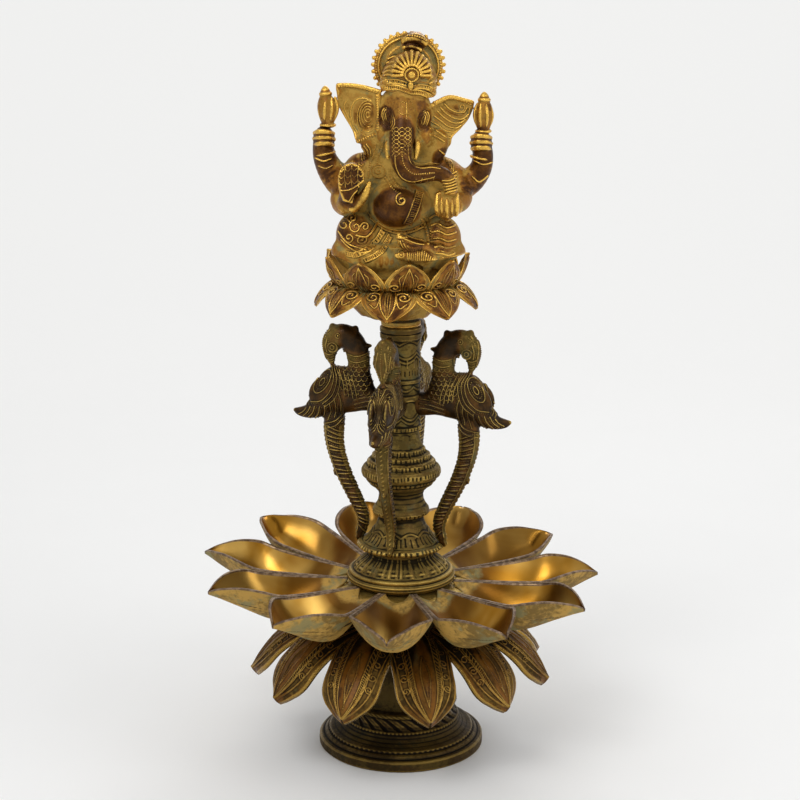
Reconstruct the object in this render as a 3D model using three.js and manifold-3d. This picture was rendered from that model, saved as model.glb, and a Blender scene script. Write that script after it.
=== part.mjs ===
// Ganesha oil lamp: a cast brass pedestal lamp with a ring of drooping leaves, a dish of eleven
// petal-shaped oil troughs, a turned column with four peacocks, and a seated figure on a lotus.
// Millimetres, +Z up, origin under the middle of the foot. The figure faces -Y.
// Angles round the axis are in degrees, from -Y (the front) towards +X (the viewer's right).

import * as THREE from "three";
import { mergeVertices } from "three/addons/utils/BufferGeometryUtils.js";
import Module from "manifold-3d";

const wasm = await Module();
wasm.setup();

// Clearances
const seatGap = 0.3; // between two pieces that touch
const runningGap = 0.35; // round a rod or stud in its hole

// Foot: plinth, bead, cushion and fluted neck, cast hollow
const footRadius = 53.6;
const plinthHeight = 7.2;
const plinthRound = 0.9;
const footBeadRadius = 50;
const footBeadHeight = 2.5;
const cushionRadius = 46.6;
const cushionHeight = 12;
const neckRadius = 35.3;
const neckHeight = 7;
const neckRingRadius = 36.4;
const neckRingHeight = 2.6;
const footWall = 4;
const footWebThickness = 5;

// Leaf ring and its drooping leaves
const leafRingHeight = 73.1;
const leafRingFootRadius = 31;
const leafRingWaistRadius = 27;
const leafRingTopRadius = 36;
const leafRingWall = 4;
const leafBandHeight = 24; // the flared band that the leaves are brazed to
const leafCount = 11;
const firstLeafAngle = -22;
const leafReach = 97;
const leafRootDrop = 14.7; // hub's underside down to the top of a leaf at its root
const leafDrop = 38; // root down to the tip
const leafHalfWidth = 18.6;
const leafCrown = 5.2;
const leafThickness = 2.6;
const leafTipHalfWidth = 1.1;
const leafTuck = 0.8; // share of the thickness by which the underside lies nearer the axis at the tip

// Dish: a star-edged hub plate and eleven separately cast troughs brazed round it
const hubThickness = 4;
const hubValleyRadius = 34; // where two troughs meet
const hubPointRadius = 44; // on a trough's centre line
const petalReach = 128;
const petalHalfWidth = 26.4;
const petalTipHalfWidth = 0.9;
const petalDepth = 17.6; // hub top down to the keel of a trough
const petalTipLift = 5.3; // hub top up to the tip
const rimInnerLift = 2.6; // hub top up to the ridge beside the bell
const rimOuterLift = 6.7; // up to the rim where two troughs part
const rimCrest = 4.6; // further rise of the free rim between parting and tip
const petalFloorWall = 2.4;
const petalRimWall = 1.7;
const petalTipWall = 2.2;
const dishSetBack = 1; // the dish was brazed on this far behind the column's axis
const dishLean = 0.033; // rise in mm for each mm outwards on the left, fall on the right
// Hand-set positions of the troughs round the hub, how far each tip was raised, and its extra reach
const petalAngles = [-3.75, 29, 61.7, 94.4, 126.2, 160, 192.5, 228.5, 258.1, 290.8, 323.5];
const petalLifts = [0, 0, 0, 0, 3.4, 6.6, 7, 6.8, 1.8, 0, 0];
const petalStretches = [0, 0, 0, 0, 0, 0, 0, 0, 3.6, 0, 0];
const petalParting = 4; // length over which a trough eases from its neighbour's ridge to its own rim

// Bell between dish and column
const bellFootRadius = 29;
const bellFootHeight = 2.1;
const bellRingRadius = 34.5;
const bellRingHeight = 4.4;
const bellBeadRadius = 33.3;
const bellBeadHeight = 3;
const bellShoulderRadius = 31;
const bellDomeHeight = 9.4;
const bellNeckRadius = 21;
const bellNeckHeight = 3.8;
const bellWall = 3.6;
const bellWebThickness = 4;

// Column
const flangeRadius = 28.2;
const flangeHeight = 4.6;
const trumpetHeight = 18.4;
const lowerWaistRadius = 14.1;
const skirtRadius = 18.3;
const skirtHeight = 13.2;
const upperWaistRadius = 14;
const bulgeUndersideHeight = 10.2;
const bulgeUndersideRadius = 22.4;
const bulgeRadius = 25.5;
const bulgeHeight = 8.6;
const upperStepRadii = [21.8, 18.4, 15.3];
const upperStepHeight = 3.9;
const coneHeight = 12.2;
const coneTopRadius = 11.3;
const shaftRingRadius = 13.2;
const shaftRingHeight = 2.4;
const shaftRadius = 12.1;
const shaftHeight = 55.8;
const collarRadius = 13.2;
const collarHeight = 7.6;
const collarTopRadius = 12.4;

// Peacocks, four alike, brazed to the shaft by the breast
const peacockAngles = { front: -14, right: 76, back: 166, left: 256 };
const perchHeight = 16.5; // breast above the foot of the shaft
const perchStandoff = 12; // breast centre out from the shaft's surface
const peacockNeckLift = 44; // breast up to the top of the arched neck
const peacockWingReach = 46; // breast out to the wing tip
const peacockWingDrop = 12; // breast down to the wing tip
const peacockThickness = 17; // across both wings
const peacockHeadThickness = 12.4;
const tailWidth = 13.5;
const tailThickness = 9;
const lugRadius = 5.5;

// Lotus seat, cast as a cup; it sits a little to the left of the column
const seatShift = -3.2;
const seatCollarHeight = 4.6;
const seatCollarRadius = 12.4;
const seatFloorThickness = 5;
const seatRimHeight = 26.2; // floor's underside up to the ledge that carries the figure
const seatRimRadius = 34;
const seatLedgeRadius = 24; // inside edge of the ledge
const seatWall = 3.4;
const lowerPetalCount = 8;
const firstLowerPetalAngle = -6;
const lowerPetalReach = 51.4;
const lowerPetalRootDrop = 3.4; // ledge down to the root of the lower petals
const lowerPetalDrop = 16.4; // root down to the tips
const lowerNotchReach = 43.6;
const lowerNotchDrop = 8.6;
const upperPetalCount = 9;
const firstUpperPetalAngle = 10.5;
const upperPetalReach = 46;
const upperPetalRise = 15; // ledge up to the tips
const upperNotchReach = 42;
const upperNotchRise = 8.6;
const seatPetalEdge = 1.3;
const figureSocketRadius = 32; // room inside the upper petals for the figure's base

// Figure, seated. It is set out in parts of its height, as temple figures are, from the middle of
// its base: x to the viewer's right, y away from the viewer, z up.
const figureHeight = 148.6;
const figurePatternHeight = 148.6; // the height at which the points below are drawn
const figureShift = -1;

// Fastenings
const rodRadius = 4; // M8
const rodLength = 141;
const rodTail = 9; // rod below the web of the foot
const washerRadius = 12;
const washerThickness = 2;
const nutFlats = 13;
const nutHeight = 6.5;
const studLength = 72;
const studInColumn = 16;
const seatNutHeight = 6.5;

// Colours of the finishes
const finishes = {
  olivePatina: { color: 0x8a7434, roughness: 0.5, metalness: 0.8 },
  darkBronze: { color: 0x4a3a1c, roughness: 0.45, metalness: 0.8 },
  satinGold: { color: 0xb98432, roughness: 0.32, metalness: 0.95 },
  goldPatina: { color: 0xa07e34, roughness: 0.45, metalness: 0.85 },
  brass: { color: 0xb08d45, roughness: 0.4, metalness: 0.9 },
};

// The stack, from the floor up
const plinthTopZ = plinthHeight;
const cushionFootZ = plinthTopZ + footBeadHeight;
const neckFootZ = cushionFootZ + cushionHeight;
const footTopZ = neckFootZ + neckHeight + neckRingHeight;
const leafRingZ = footTopZ + seatGap;
const hubUnderZ = leafRingZ + leafRingHeight + seatGap;
const hubTopZ = hubUnderZ + hubThickness;
const bellZ = hubTopZ + seatGap;
const bellTopZ = bellZ + bellFootHeight + bellRingHeight + bellBeadHeight + bellDomeHeight + bellNeckHeight;
const columnZ = bellTopZ + seatGap;
const flangeTopZ = columnZ + flangeHeight;
const skirtFootZ = flangeTopZ + trumpetHeight;
const upperWaistZ = skirtFootZ + skirtHeight;
const bulgeZ = upperWaistZ + bulgeUndersideHeight;
const stepsZ = bulgeZ + bulgeHeight;
const coneZ = stepsZ + upperStepHeight * upperStepRadii.length;
const shaftRingZ = coneZ + coneHeight;
const shaftZ = shaftRingZ + shaftRingHeight;
const collarZ = shaftZ + shaftHeight;
const columnTopZ = collarZ + collarHeight;
const seatZ = columnTopZ + seatGap;
const seatFloorZ = seatZ + seatCollarHeight;
const seatFloorTopZ = seatFloorZ + seatFloorThickness;
const seatLedgeZ = seatFloorZ + seatRimHeight;
const figureZ = seatLedgeZ + seatGap;

// Geometry helpers

// A closed geometry as a solid, with its faces turned out.
function solidOf(geometry) {
  const bare = geometry.clone();
  for (const name of Object.keys(bare.attributes)) {
    if (name !== "position") bare.deleteAttribute(name);
  }
  const merged = mergeVertices(bare, 1e-3);
  const index = merged.index.array;
  const triangles = [];
  for (let i = 0; i < index.length; i += 3) {
    const [a, b, c] = [index[i], index[i + 1], index[i + 2]];
    if (a !== b && b !== c && c !== a) triangles.push(a, b, c);
  }
  const vertProperties = Float32Array.from(merged.attributes.position.array);
  const make = (list) =>
    new wasm.Manifold(new wasm.Mesh({ numProp: 3, vertProperties, triVerts: Uint32Array.from(list) }));
  const made = make(triangles);
  return made.volume() >= 0 ? made : make(triangles.reverse());
}

function geometryOf(solid) {
  const mesh = solid.getMesh();
  const positions = new Float32Array(mesh.numVert * 3);
  for (let i = 0; i < mesh.numVert; i++) {
    for (let k = 0; k < 3; k++) positions[i * 3 + k] = mesh.vertProperties[i * mesh.numProp + k];
  }
  const geometry = new THREE.BufferGeometry();
  geometry.setAttribute("position", new THREE.BufferAttribute(positions, 3));
  geometry.setIndex(new THREE.BufferAttribute(mesh.triVerts, 1));
  geometry.computeVertexNormals();
  return geometry;
}

const join = (...solids) => solids.reduce((whole, next) => whole.add(next));
const cut = (solid, ...tools) => tools.reduce((whole, tool) => whole.subtract(tool), solid);

// A point at an angle round the axis, a radius and a height.
function around(angle, radius, z) {
  const a = THREE.MathUtils.degToRad(angle);
  return new THREE.Vector3(radius * Math.sin(a), -radius * Math.cos(a), z);
}

// A smooth function of one variable through a few hand-chosen pairs.
function through(...pairs) {
  const slope = (i) => {
    const [x0, y0] = pairs[Math.max(i - 1, 0)];
    const [x1, y1] = pairs[Math.min(i + 1, pairs.length - 1)];
    return (y1 - y0) / (x1 - x0);
  };
  return (x) => {
    let i = pairs.findIndex((pair) => pair[0] > x) - 1;
    if (i < 0) i = x < pairs[0][0] ? 0 : pairs.length - 2;
    const [x0, y0] = pairs[i];
    const [x1, y1] = pairs[i + 1];
    const h = x1 - x0;
    const t = THREE.MathUtils.clamp((x - x0) / h, 0, 1);
    const ends = y0 * (2 * t ** 3 - 3 * t ** 2 + 1) + y1 * (3 * t ** 2 - 2 * t ** 3);
    return ends + h * (slope(i) * (t ** 3 - 2 * t ** 2 + t) + slope(i + 1) * (t ** 3 - t ** 2));
  };
}

// A revolve about Z of a closed outline of [radius, height] pairs.
function revolve(outline, segments = 40) {
  const points = [...outline, outline[0]].map(([r, z]) => new THREE.Vector2(r, z));
  return solidOf(new THREE.LatheGeometry(points, segments).rotateX(Math.PI / 2));
}

function disc(radius, z0, z1, segments = 24) {
  return revolve([[0, z0], [radius, z0], [radius, z1], [0, z1]], segments);
}

// A quarter-round or hollow between two [radius, height] points, as a few more of them.
function sweepBetween([r0, z0], [r1, z1], bow, steps) {
  const made = [];
  for (let i = 1; i < steps; i++) {
    const t = i / steps;
    const side = bow * Math.sin(Math.PI * t);
    const length = Math.hypot(r1 - r0, z1 - z0);
    const r = r0 + (r1 - r0) * t + (side * (z1 - z0)) / length;
    const z = z0 + (z1 - z0) * t - (side * (r1 - r0)) / length;
    made.push([r, z]);
  }
  return made;
}

// A plate between two surfaces of u and v, closed round its edge, or round v when it is a ring.
function plate(upper, lower, uSteps, vSteps, ring = false) {
  const rows = uSteps + 1;
  const columns = ring ? vSteps : vSteps + 1;
  const positions = [];
  for (const surface of [upper, lower]) {
    for (let i = 0; i < rows; i++) {
      for (let j = 0; j < columns; j++) positions.push(...surface(i / uSteps, j / vSteps).toArray());
    }
  }
  const at = (side, i, j) => side * rows * columns + i * columns + (ring ? j % columns : j);
  const index = [];
  const quad = (a, b, c, d) => index.push(a, b, c, a, c, d);
  for (let i = 0; i < uSteps; i++) {
    for (let j = 0; j < vSteps; j++) {
      quad(at(0, i, j), at(0, i + 1, j), at(0, i + 1, j + 1), at(0, i, j + 1));
      quad(at(1, i, j), at(1, i, j + 1), at(1, i + 1, j + 1), at(1, i + 1, j));
    }
  }
  for (let j = 0; j < vSteps; j++) {
    quad(at(0, 0, j), at(0, 0, j + 1), at(1, 0, j + 1), at(1, 0, j));
    quad(at(0, uSteps, j), at(1, uSteps, j), at(1, uSteps, j + 1), at(0, uSteps, j + 1));
  }
  if (!ring) {
    for (let i = 0; i < uSteps; i++) {
      quad(at(0, i, 0), at(1, i, 0), at(1, i + 1, 0), at(0, i + 1, 0));
      quad(at(0, i, vSteps), at(0, i + 1, vSteps), at(1, i + 1, vSteps), at(1, i, vSteps));
    }
  }
  const geometry = new THREE.BufferGeometry();
  geometry.setAttribute("position", new THREE.Float32BufferAttribute(positions, 3));
  geometry.setIndex(index);
  return solidOf(geometry);
}

// An egg-shaped lump with its three radii, turned by Euler angles in degrees.
function lump([x, y, z], [rx, ry, rz], { turn = [0, 0, 0], sides = 10, rings = 6 } = {}) {
  const euler = new THREE.Euler(...turn.map(THREE.MathUtils.degToRad));
  const geometry = new THREE.SphereGeometry(1, sides, rings).rotateX(Math.PI / 2).scale(rx, ry, rz);
  geometry.applyMatrix4(new THREE.Matrix4().makeRotationFromEuler(euler));
  return solidOf(geometry.translate(x, y, z));
}

// A limb along a smooth path: at each point a width and a depth across it, the width along `side`.
function limb(points, side, { steps = 10, sides = 8 } = {}) {
  const centres = points.map(([p]) => new THREE.Vector3(...p));
  const path = new THREE.CatmullRomCurve3(centres, false, "centripetal");
  const widths = through(...points.map(([, w], i) => [i / (points.length - 1), w]));
  const depths = through(...points.map(([, w, d], i) => [i / (points.length - 1), d ?? w]));
  const positions = [];
  for (let i = 0; i <= steps; i++) {
    const t = i / steps;
    const centre = path.getPoint(t);
    const tangent = path.getTangent(t);
    const across = side.clone().addScaledVector(tangent, -side.dot(tangent)).normalize();
    const over = tangent.clone().cross(across);
    for (let k = 0; k < sides; k++) {
      const a = (2 * Math.PI * k) / sides;
      const p = centre.clone().addScaledVector(across, widths(t) * Math.cos(a));
      positions.push(...p.addScaledVector(over, depths(t) * Math.sin(a)).toArray());
    }
  }
  const index = [];
  for (let i = 0; i < steps; i++) {
    for (let k = 0; k < sides; k++) {
      const [a, b] = [i * sides + k, i * sides + ((k + 1) % sides)];
      index.push(a, b, b + sides, a, b + sides, a + sides);
    }
  }
  for (let k = 1; k < sides - 1; k++) {
    index.push(0, k + 1, k);
    index.push(steps * sides, steps * sides + k, steps * sides + k + 1);
  }
  const geometry = new THREE.BufferGeometry();
  geometry.setAttribute("position", new THREE.Float32BufferAttribute(positions, 3));
  geometry.setIndex(index);
  return solidOf(geometry);
}

// Foot

function makeFoot() {
  const outline = [
    [footRadius - plinthRound, 0],
    [footRadius, plinthRound],
    [footRadius, plinthTopZ - plinthRound],
    [footRadius - plinthRound, plinthTopZ],
    [footBeadRadius, plinthTopZ],
    [footBeadRadius - 1.4, cushionFootZ - 0.3],
    [cushionRadius, cushionFootZ],
    [cushionRadius, cushionFootZ + 1.4],
    ...sweepBetween([cushionRadius - 1, cushionFootZ + 1.8], [neckRadius + 1.4, neckFootZ - 1.4], -1.4, 3),
    [neckRadius + 1.4, neckFootZ - 1.4],
    [neckRadius, neckFootZ],
    [neckRadius, neckFootZ + neckHeight],
    [neckRingRadius, neckFootZ + neckHeight + 0.4],
    [neckRingRadius, footTopZ - 0.4],
    [neckRadius - 0.4, footTopZ],
    [0, footTopZ],
    [0, footTopZ - footWebThickness],
    [neckRadius - footWall, footTopZ - footWebThickness],
    [neckRadius - footWall, neckFootZ],
    [cushionRadius - footWall - 2, cushionFootZ],
    [footRadius - footWall - 1, 2],
    [footRadius - footWall, 0],
  ];
  const body = revolve(outline, 30);
  return cut(body, disc(rodRadius + runningGap, footTopZ - 2 * footWebThickness, footTopZ + 1, 12));
}

// Leaf ring and leaves

const leafRootZ = leafRingZ + leafRingHeight - leafBandHeight;

function makeLeafRing() {
  const topZ = leafRingZ + leafRingHeight;
  const middleZ = (leafRingZ + leafRootZ) / 2;
  return revolve([
    [leafRingFootRadius - leafRingWall, leafRingZ],
    [leafRingFootRadius, leafRingZ],
    [leafRingFootRadius, leafRingZ + 2.5],
    [leafRingWaistRadius, middleZ],
    [leafRingTopRadius - 1.5, leafRootZ - 6],
    [leafRingTopRadius, leafRootZ],
    [leafRingTopRadius, topZ - 2],
    [hubValleyRadius - 1, topZ],
    [hubValleyRadius - 1 - leafRingWall, topZ],
    [leafRingTopRadius - leafRingWall - 1, leafRootZ],
    [leafRingWaistRadius - leafRingWall, middleZ],
  ], 22);
}

// A leaf hangs from the band: out, over and down to a pointed tip, crowned across its midrib.
function leafSurface(angle) {
  const rootRadius = leafRingTopRadius + seatGap;
  const rootTopZ = hubUnderZ - leafRootDrop;
  const run = leafReach - rootRadius;
  const height = through([0, rootTopZ], [0.39, rootTopZ - leafDrop * 0.105],
    [0.72, rootTopZ - leafDrop * 0.42], [0.918, rootTopZ - leafDrop * 0.79], [1, rootTopZ - leafDrop]);
  const halfPitch = THREE.MathUtils.degToRad(180 / leafCount);
  const free = through([0, leafHalfWidth * 0.7], [0.4, leafHalfWidth * 0.98], [0.65, leafHalfWidth],
    [0.82, leafHalfWidth * 0.98], [0.9, leafHalfWidth * 0.78], [0.96, leafHalfWidth * 0.42],
    [1, leafTipHalfWidth]);
  const outward = around(angle, 1, 0);
  const across = around(angle + 90, 1, 0);
  return (u, v) => {
    const share = Math.sin((u * Math.PI) / 2) ** 0.9;
    const s = 2 * v - 1;
    const radius = rootRadius + run * share;
    const edgeRadius = radius - leafCrown * 0.5 * share - leafThickness * leafTuck * share;
    const shared = edgeRadius * Math.tan(halfPitch) - seatGap / 2 / Math.cos(halfPitch);
    const width = Math.min(free(share), shared);
    const sag = leafCrown * s * s;
    return new THREE.Vector3(0, 0, height(share) - sag * 0.8)
      .addScaledVector(outward, radius - sag * 0.5 * share)
      .addScaledVector(across, width * s);
  };
}

function makeLeaf(angle) {
  const upper = leafSurface(angle);
  const down = new THREE.Vector3(0, 0, -1);
  const inward = around(angle, -1, 0);
  const lower = (u, v) =>
    upper(u, v)
      .addScaledVector(down, leafThickness * (1 - 0.35 * u))
      .addScaledVector(inward, leafThickness * leafTuck * Math.sin((u * Math.PI) / 2) ** 0.9);
  return plate(upper, lower, 8, 4);
}

// Dish

// Angles of the ridges on the two sides of trough number i.
function ridgeAngles(i) {
  const count = petalAngles.length;
  const before = petalAngles[(i + count - 1) % count] - (i === 0 ? 360 : 0);
  const after = petalAngles[(i + 1) % count] + (i === count - 1 ? 360 : 0);
  return [(before + petalAngles[i]) / 2, (petalAngles[i] + after) / 2];
}

// How far the hand-set lean lifts a point of the dish outside the hub.
function leanAt(x, y) {
  const radius = Math.hypot(x, y);
  return radius > hubValleyRadius ? (-dishLean * x * (radius - hubValleyRadius)) / radius : 0;
}

function makeHub() {
  const outline = new THREE.Shape();
  petalAngles.forEach((angle, i) => {
    const valley = around(ridgeAngles(i)[0], hubValleyRadius, 0);
    const point = around(angle, hubPointRadius, 0);
    if (i === 0) outline.moveTo(valley.x, valley.y);
    else outline.lineTo(valley.x, valley.y);
    outline.lineTo(point.x, point.y);
  });
  outline.closePath();
  const star = new THREE.ExtrudeGeometry(outline, { depth: hubThickness, bevelEnabled: false, steps: 1 });
  return cut(
    solidOf(star.translate(0, dishSetBack, hubUnderZ)),
    disc(rodRadius + runningGap, hubUnderZ - 1, hubTopZ + 1, 12),
  );
}

// The smaller of two widths, eased where they are nearly alike.
function easedLeast(a, b, ease) {
  const share = THREE.MathUtils.clamp(0.5 + (0.5 * (b - a)) / ease, 0, 1);
  return b + (a - b) * share - ease * share * (1 - share);
}

// One face of trough i, inside or underside: u runs out from the hub, v across from ridge to ridge.
function troughSurface(i, inside) {
  const reach = petalReach + petalStretches[i];
  const angle = petalAngles[i];
  const [before, after] = ridgeAngles(i);
  const halfAngles = [angle - before, after - angle].map(THREE.MathUtils.degToRad);
  const keel = through([0, hubUnderZ], [0.2, hubTopZ - petalDepth * 0.66], [0.38, hubTopZ - petalDepth],
    [0.54, hubTopZ - petalDepth * 0.86], [0.78, hubTopZ - petalDepth * 0.28],
    [0.91, hubTopZ + petalTipLift * 0.1], [1, hubTopZ + petalTipLift - 1.5]);
  const floor = through([0, hubThickness], [0.3, petalFloorWall], [1, 1.4]);
  const rim = through([-0.12, hubTopZ + rimInnerLift], [0.5, hubTopZ + rimOuterLift],
    [0.66, hubTopZ + rimOuterLift + rimCrest * 0.8], [0.8, hubTopZ + rimOuterLift + rimCrest],
    [0.92, hubTopZ + rimOuterLift + rimCrest * 0.45], [1, hubTopZ + petalTipLift]);
  const free = through([-0.12, petalHalfWidth * 0.62], [0.2, petalHalfWidth * 0.9], [0.5, petalHalfWidth],
    [0.64, petalHalfWidth * 0.93], [0.77, petalHalfWidth * 0.7], [0.89, petalHalfWidth * 0.4],
    [1, petalTipHalfWidth]);
  const outward = around(angle, 1, 0);
  const across = around(angle + 90, 1, 0);
  return (u, v) => {
    const s = 2 * v - 1;
    const half = halfAngles[s < 0 ? 0 : 1];
    const rootX = hubPointRadius + seatGap * 1.8;
    const valleyX = (hubValleyRadius + seatGap * 1.8) * Math.cos(half);
    const startX = rootX + (valleyX - rootX) * Math.abs(s);
    const endX = reach - (inside ? petalTipWall * (1 - s * s) : 0);
    const x = startX + (endX - startX) * u ** 0.92;
    const share = (x - hubPointRadius) / (reach - hubPointRadius);
    const shared = x * Math.tan(half) - seatGap / 2 / Math.cos(half);
    const outer = easedLeast(shared, free(share), petalParting);
    const width = inside ? outer - Math.min(petalRimWall, outer * 0.6) : outer;
    const low = keel(Math.max(share, 0)) + (inside ? floor(Math.max(share, 0)) : 0);
    const wall = Math.abs(s) ** 2.3;
    const p = new THREE.Vector3(0, 0, low * (1 - wall) + rim(share) * wall);
    p.addScaledVector(outward, x).addScaledVector(across, width * s);
    p.z += leanAt(p.x, p.y) + petalLifts[i] * Math.max(share, 0) ** 1.4;
    return p;
  };
}

function makePetal(i) {
  return plate(troughSurface(i, true), troughSurface(i, false), 8, 6).translate([0, dishSetBack, 0]);
}

// Bell

function makeBell() {
  const ringZ = bellZ + bellFootHeight;
  const beadZ = ringZ + bellRingHeight;
  const domeZ = beadZ + bellBeadHeight;
  const neckZ = domeZ + bellDomeHeight;
  const ringHalf = bellRingHeight / 2;
  const body = revolve([
    [bellFootRadius, bellZ],
    [bellFootRadius, ringZ],
    [bellRingRadius - 1.4, ringZ],
    [bellRingRadius, ringZ + ringHalf * 0.6],
    [bellRingRadius, ringZ + ringHalf * 1.4],
    [bellRingRadius - 1.6, beadZ],
    [bellBeadRadius, beadZ + 0.7],
    [bellBeadRadius, beadZ + bellBeadHeight - 0.8],
    [bellShoulderRadius, domeZ],
    ...sweepBetween([bellShoulderRadius, domeZ], [bellNeckRadius, neckZ], -1.2, 4),
    [bellNeckRadius, neckZ],
    [bellNeckRadius, bellTopZ],
    [0, bellTopZ],
    [0, bellTopZ - bellWebThickness],
    [bellNeckRadius - bellWall, bellTopZ - bellWebThickness],
    [bellShoulderRadius - bellWall - 3, domeZ],
    [bellFootRadius - bellWall, bellZ],
  ], 24);
  return cut(body, disc(rodRadius + runningGap, bellTopZ - 2 * bellWebThickness, bellTopZ + 1, 12));
}

// Column

const rodBottomZ = footTopZ - footWebThickness - washerThickness - nutHeight - rodTail + 2 * seatGap;
const rodTopZ = rodBottomZ + rodLength;
const studBottomZ = columnTopZ - studInColumn;

function makeColumn() {
  const bulgeTop = [upperStepRadii[0] + 1.2, stepsZ];
  const steps = upperStepRadii.flatMap((radius, i) => {
    const z = stepsZ + i * upperStepHeight;
    return [[radius + 0.6, z + 0.5], [radius, z + upperStepHeight - 0.6]];
  });
  const body = revolve([
    [0, columnZ],
    [bellNeckRadius, columnZ],
    [flangeRadius - 1.2, columnZ + 0.8],
    [flangeRadius, columnZ + flangeHeight * 0.45],
    [flangeRadius - 0.5, flangeTopZ - 1],
    [flangeRadius - 2.6, flangeTopZ],
    ...sweepBetween([flangeRadius - 2.6, flangeTopZ], [lowerWaistRadius, skirtFootZ], -3.4, 4),
    [lowerWaistRadius, skirtFootZ],
    [skirtRadius - 0.8, skirtFootZ + 1],
    [skirtRadius, skirtFootZ + 2.4],
    [skirtRadius - 0.6, skirtFootZ + 4.4],
    ...sweepBetween([skirtRadius - 0.6, skirtFootZ + 4.4], [upperWaistRadius, upperWaistZ], -0.9, 3),
    [upperWaistRadius, upperWaistZ],
    ...sweepBetween([upperWaistRadius, upperWaistZ], [bulgeUndersideRadius, bulgeZ], -1.3, 3),
    [bulgeUndersideRadius, bulgeZ],
    ...sweepBetween([bulgeUndersideRadius, bulgeZ], bulgeTop, bulgeRadius - bulgeUndersideRadius, 4),
    ...steps,
    ...sweepBetween([upperStepRadii[2] - 1.2, coneZ], [coneTopRadius, shaftRingZ - 0.8], -0.5, 3),
    [coneTopRadius, shaftRingZ - 0.8],
    [shaftRingRadius, shaftRingZ],
    [shaftRingRadius, shaftZ - 0.5],
    [shaftRadius, shaftZ],
    [shaftRadius, collarZ],
    [collarRadius, collarZ + 0.8],
    [collarRadius, collarZ + collarHeight * 0.42],
    [collarRadius - 0.7, collarZ + collarHeight * 0.5],
    [collarRadius, collarZ + collarHeight * 0.58],
    [collarRadius, columnTopZ - 0.8],
    [collarTopRadius, columnTopZ],
    [0, columnTopZ],
  ], 20);
  return cut(
    body,
    disc(rodRadius + runningGap, columnZ - 1, rodTopZ + 1, 12),
    disc(rodRadius + runningGap, studBottomZ - 1, columnTopZ + 1, 12),
  );
}

// Peacocks: the breast rests by a brazed lug on the shaft, and the tail's tip stands on the flange.

const perchZ = shaftZ + perchHeight;
const perchX = shaftRadius + perchStandoff;

function makePeacock(angle) {
  const outward = around(angle, 1, 0);
  const across = around(angle + 90, 1, 0);
  const place = (x, y, z) =>
    new THREE.Vector3(0, 0, z).addScaledVector(outward, x).addScaledVector(across, y).toArray();
  const half = peacockThickness / 2;
  const headHalf = peacockHeadThickness / 2;
  const topZ = perchZ + peacockNeckLift;
  const wing = peacockWingReach;
  const neck = limb([
    [place(perchX + 3, 0, perchZ + 6), 8.4, half * 0.9],
    [place(perchX + 3.4, 0, topZ - 22), 7.6, headHalf],
    [place(perchX + 4.8, 0, topZ - 12), 6.8, headHalf * 0.9],
    [place(perchX + 11.4, 0, topZ - 6.4), 6.6, headHalf],
    [place(perchX + 18.6, 0, topZ - 7), 6.6, headHalf],
    [place(perchX + 22.8, 0, topZ - 13.5), 4.8, headHalf * 0.8],
    [place(perchX + 22.6, 0, topZ - 20), 3.1, headHalf * 0.5],
    [place(perchX + 20, 0, topZ - 25.2), 1.3, headHalf * 0.24],
  ], outward.clone().multiplyScalar(0.6).add(new THREE.Vector3(0, 0, 0.8)), { steps: 10, sides: 6 });
  const wings = limb([
    [place(perchX - wing * 0.07, 0, perchZ - 3), 6, half * 0.5],
    [place(perchX + wing * 0.07, 0, perchZ - 0.4), 12.6, half * 0.9],
    [place(perchX + wing * 0.26, 0, perchZ + 0.4), 15.4, half],
    [place(perchX + wing * 0.46, 0, perchZ - peacockWingDrop * 0.17), 14.6, half],
    [place(perchX + wing * 0.62, 0, perchZ - peacockWingDrop * 0.63), 9, half * 0.9],
    [place(perchX + wing * 0.78, 0, perchZ - peacockWingDrop), 4.4, half * 0.7],
    [place(perchX + wing * 0.91, 0, perchZ - peacockWingDrop), 2.8, half * 0.5],
    [place(perchX + wing, 0, perchZ - peacockWingDrop + 1), 1.4, half * 0.26],
  ], new THREE.Vector3(0, 0, 1), { steps: 8, sides: 8 });
  const tailTopZ = perchZ - peacockWingDrop * 0.67;
  const tailFootZ = flangeTopZ + seatGap + 1;
  const fall = tailTopZ - tailFootZ;
  const tailFootX = flangeRadius - 2;
  const bow = perchX + wing * 0.43 - tailFootX;
  const tail = limb([
    [place(tailFootX + bow * 0.94, 0, tailTopZ + 6), tailWidth * 0.6, tailThickness * 0.6],
    [place(tailFootX + bow, 0, tailTopZ - fall * 0.16), tailWidth * 0.54, tailThickness * 0.56],
    [place(tailFootX + bow * 0.9, 0, tailTopZ - fall * 0.34), tailWidth * 0.46, tailThickness * 0.5],
    [place(tailFootX + bow * 0.6, 0, tailTopZ - fall * 0.54), tailWidth * 0.42, tailThickness * 0.46],
    [place(tailFootX + bow * 0.2, 0, tailTopZ - fall * 0.74), tailWidth * 0.34, tailThickness * 0.4],
    [place(tailFootX - 0.6, 0, tailTopZ - fall * 0.9), tailWidth * 0.28, tailThickness * 0.34],
    [place(tailFootX, 0, tailFootZ + 0.6), tailWidth * 0.16, tailThickness * 0.3],
  ], outward, { steps: 7, sides: 6 });
  const lug = limb([
    [place(shaftRadius - 2, 0, perchZ - 2), lugRadius, lugRadius],
    [place(perchX, 0, perchZ - 1), lugRadius, lugRadius],
  ], across, { steps: 1, sides: 6 });
  const crests = [[0.4, -13], [5.4, -4.4], [12, -0.6]].map(([x, z]) =>
    lump(place(perchX + x, 0, topZ + z - 0.6), [1.9, 1.9, 2.1], { sides: 5, rings: 3 }));
  const bird = join(neck, wings, tail, lug, ...crests);
  const shaftSpace = disc(shaftRadius + seatGap, shaftZ, collarZ, 20);
  return cut(bird, shaftSpace);
}

// Lotus seat

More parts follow.
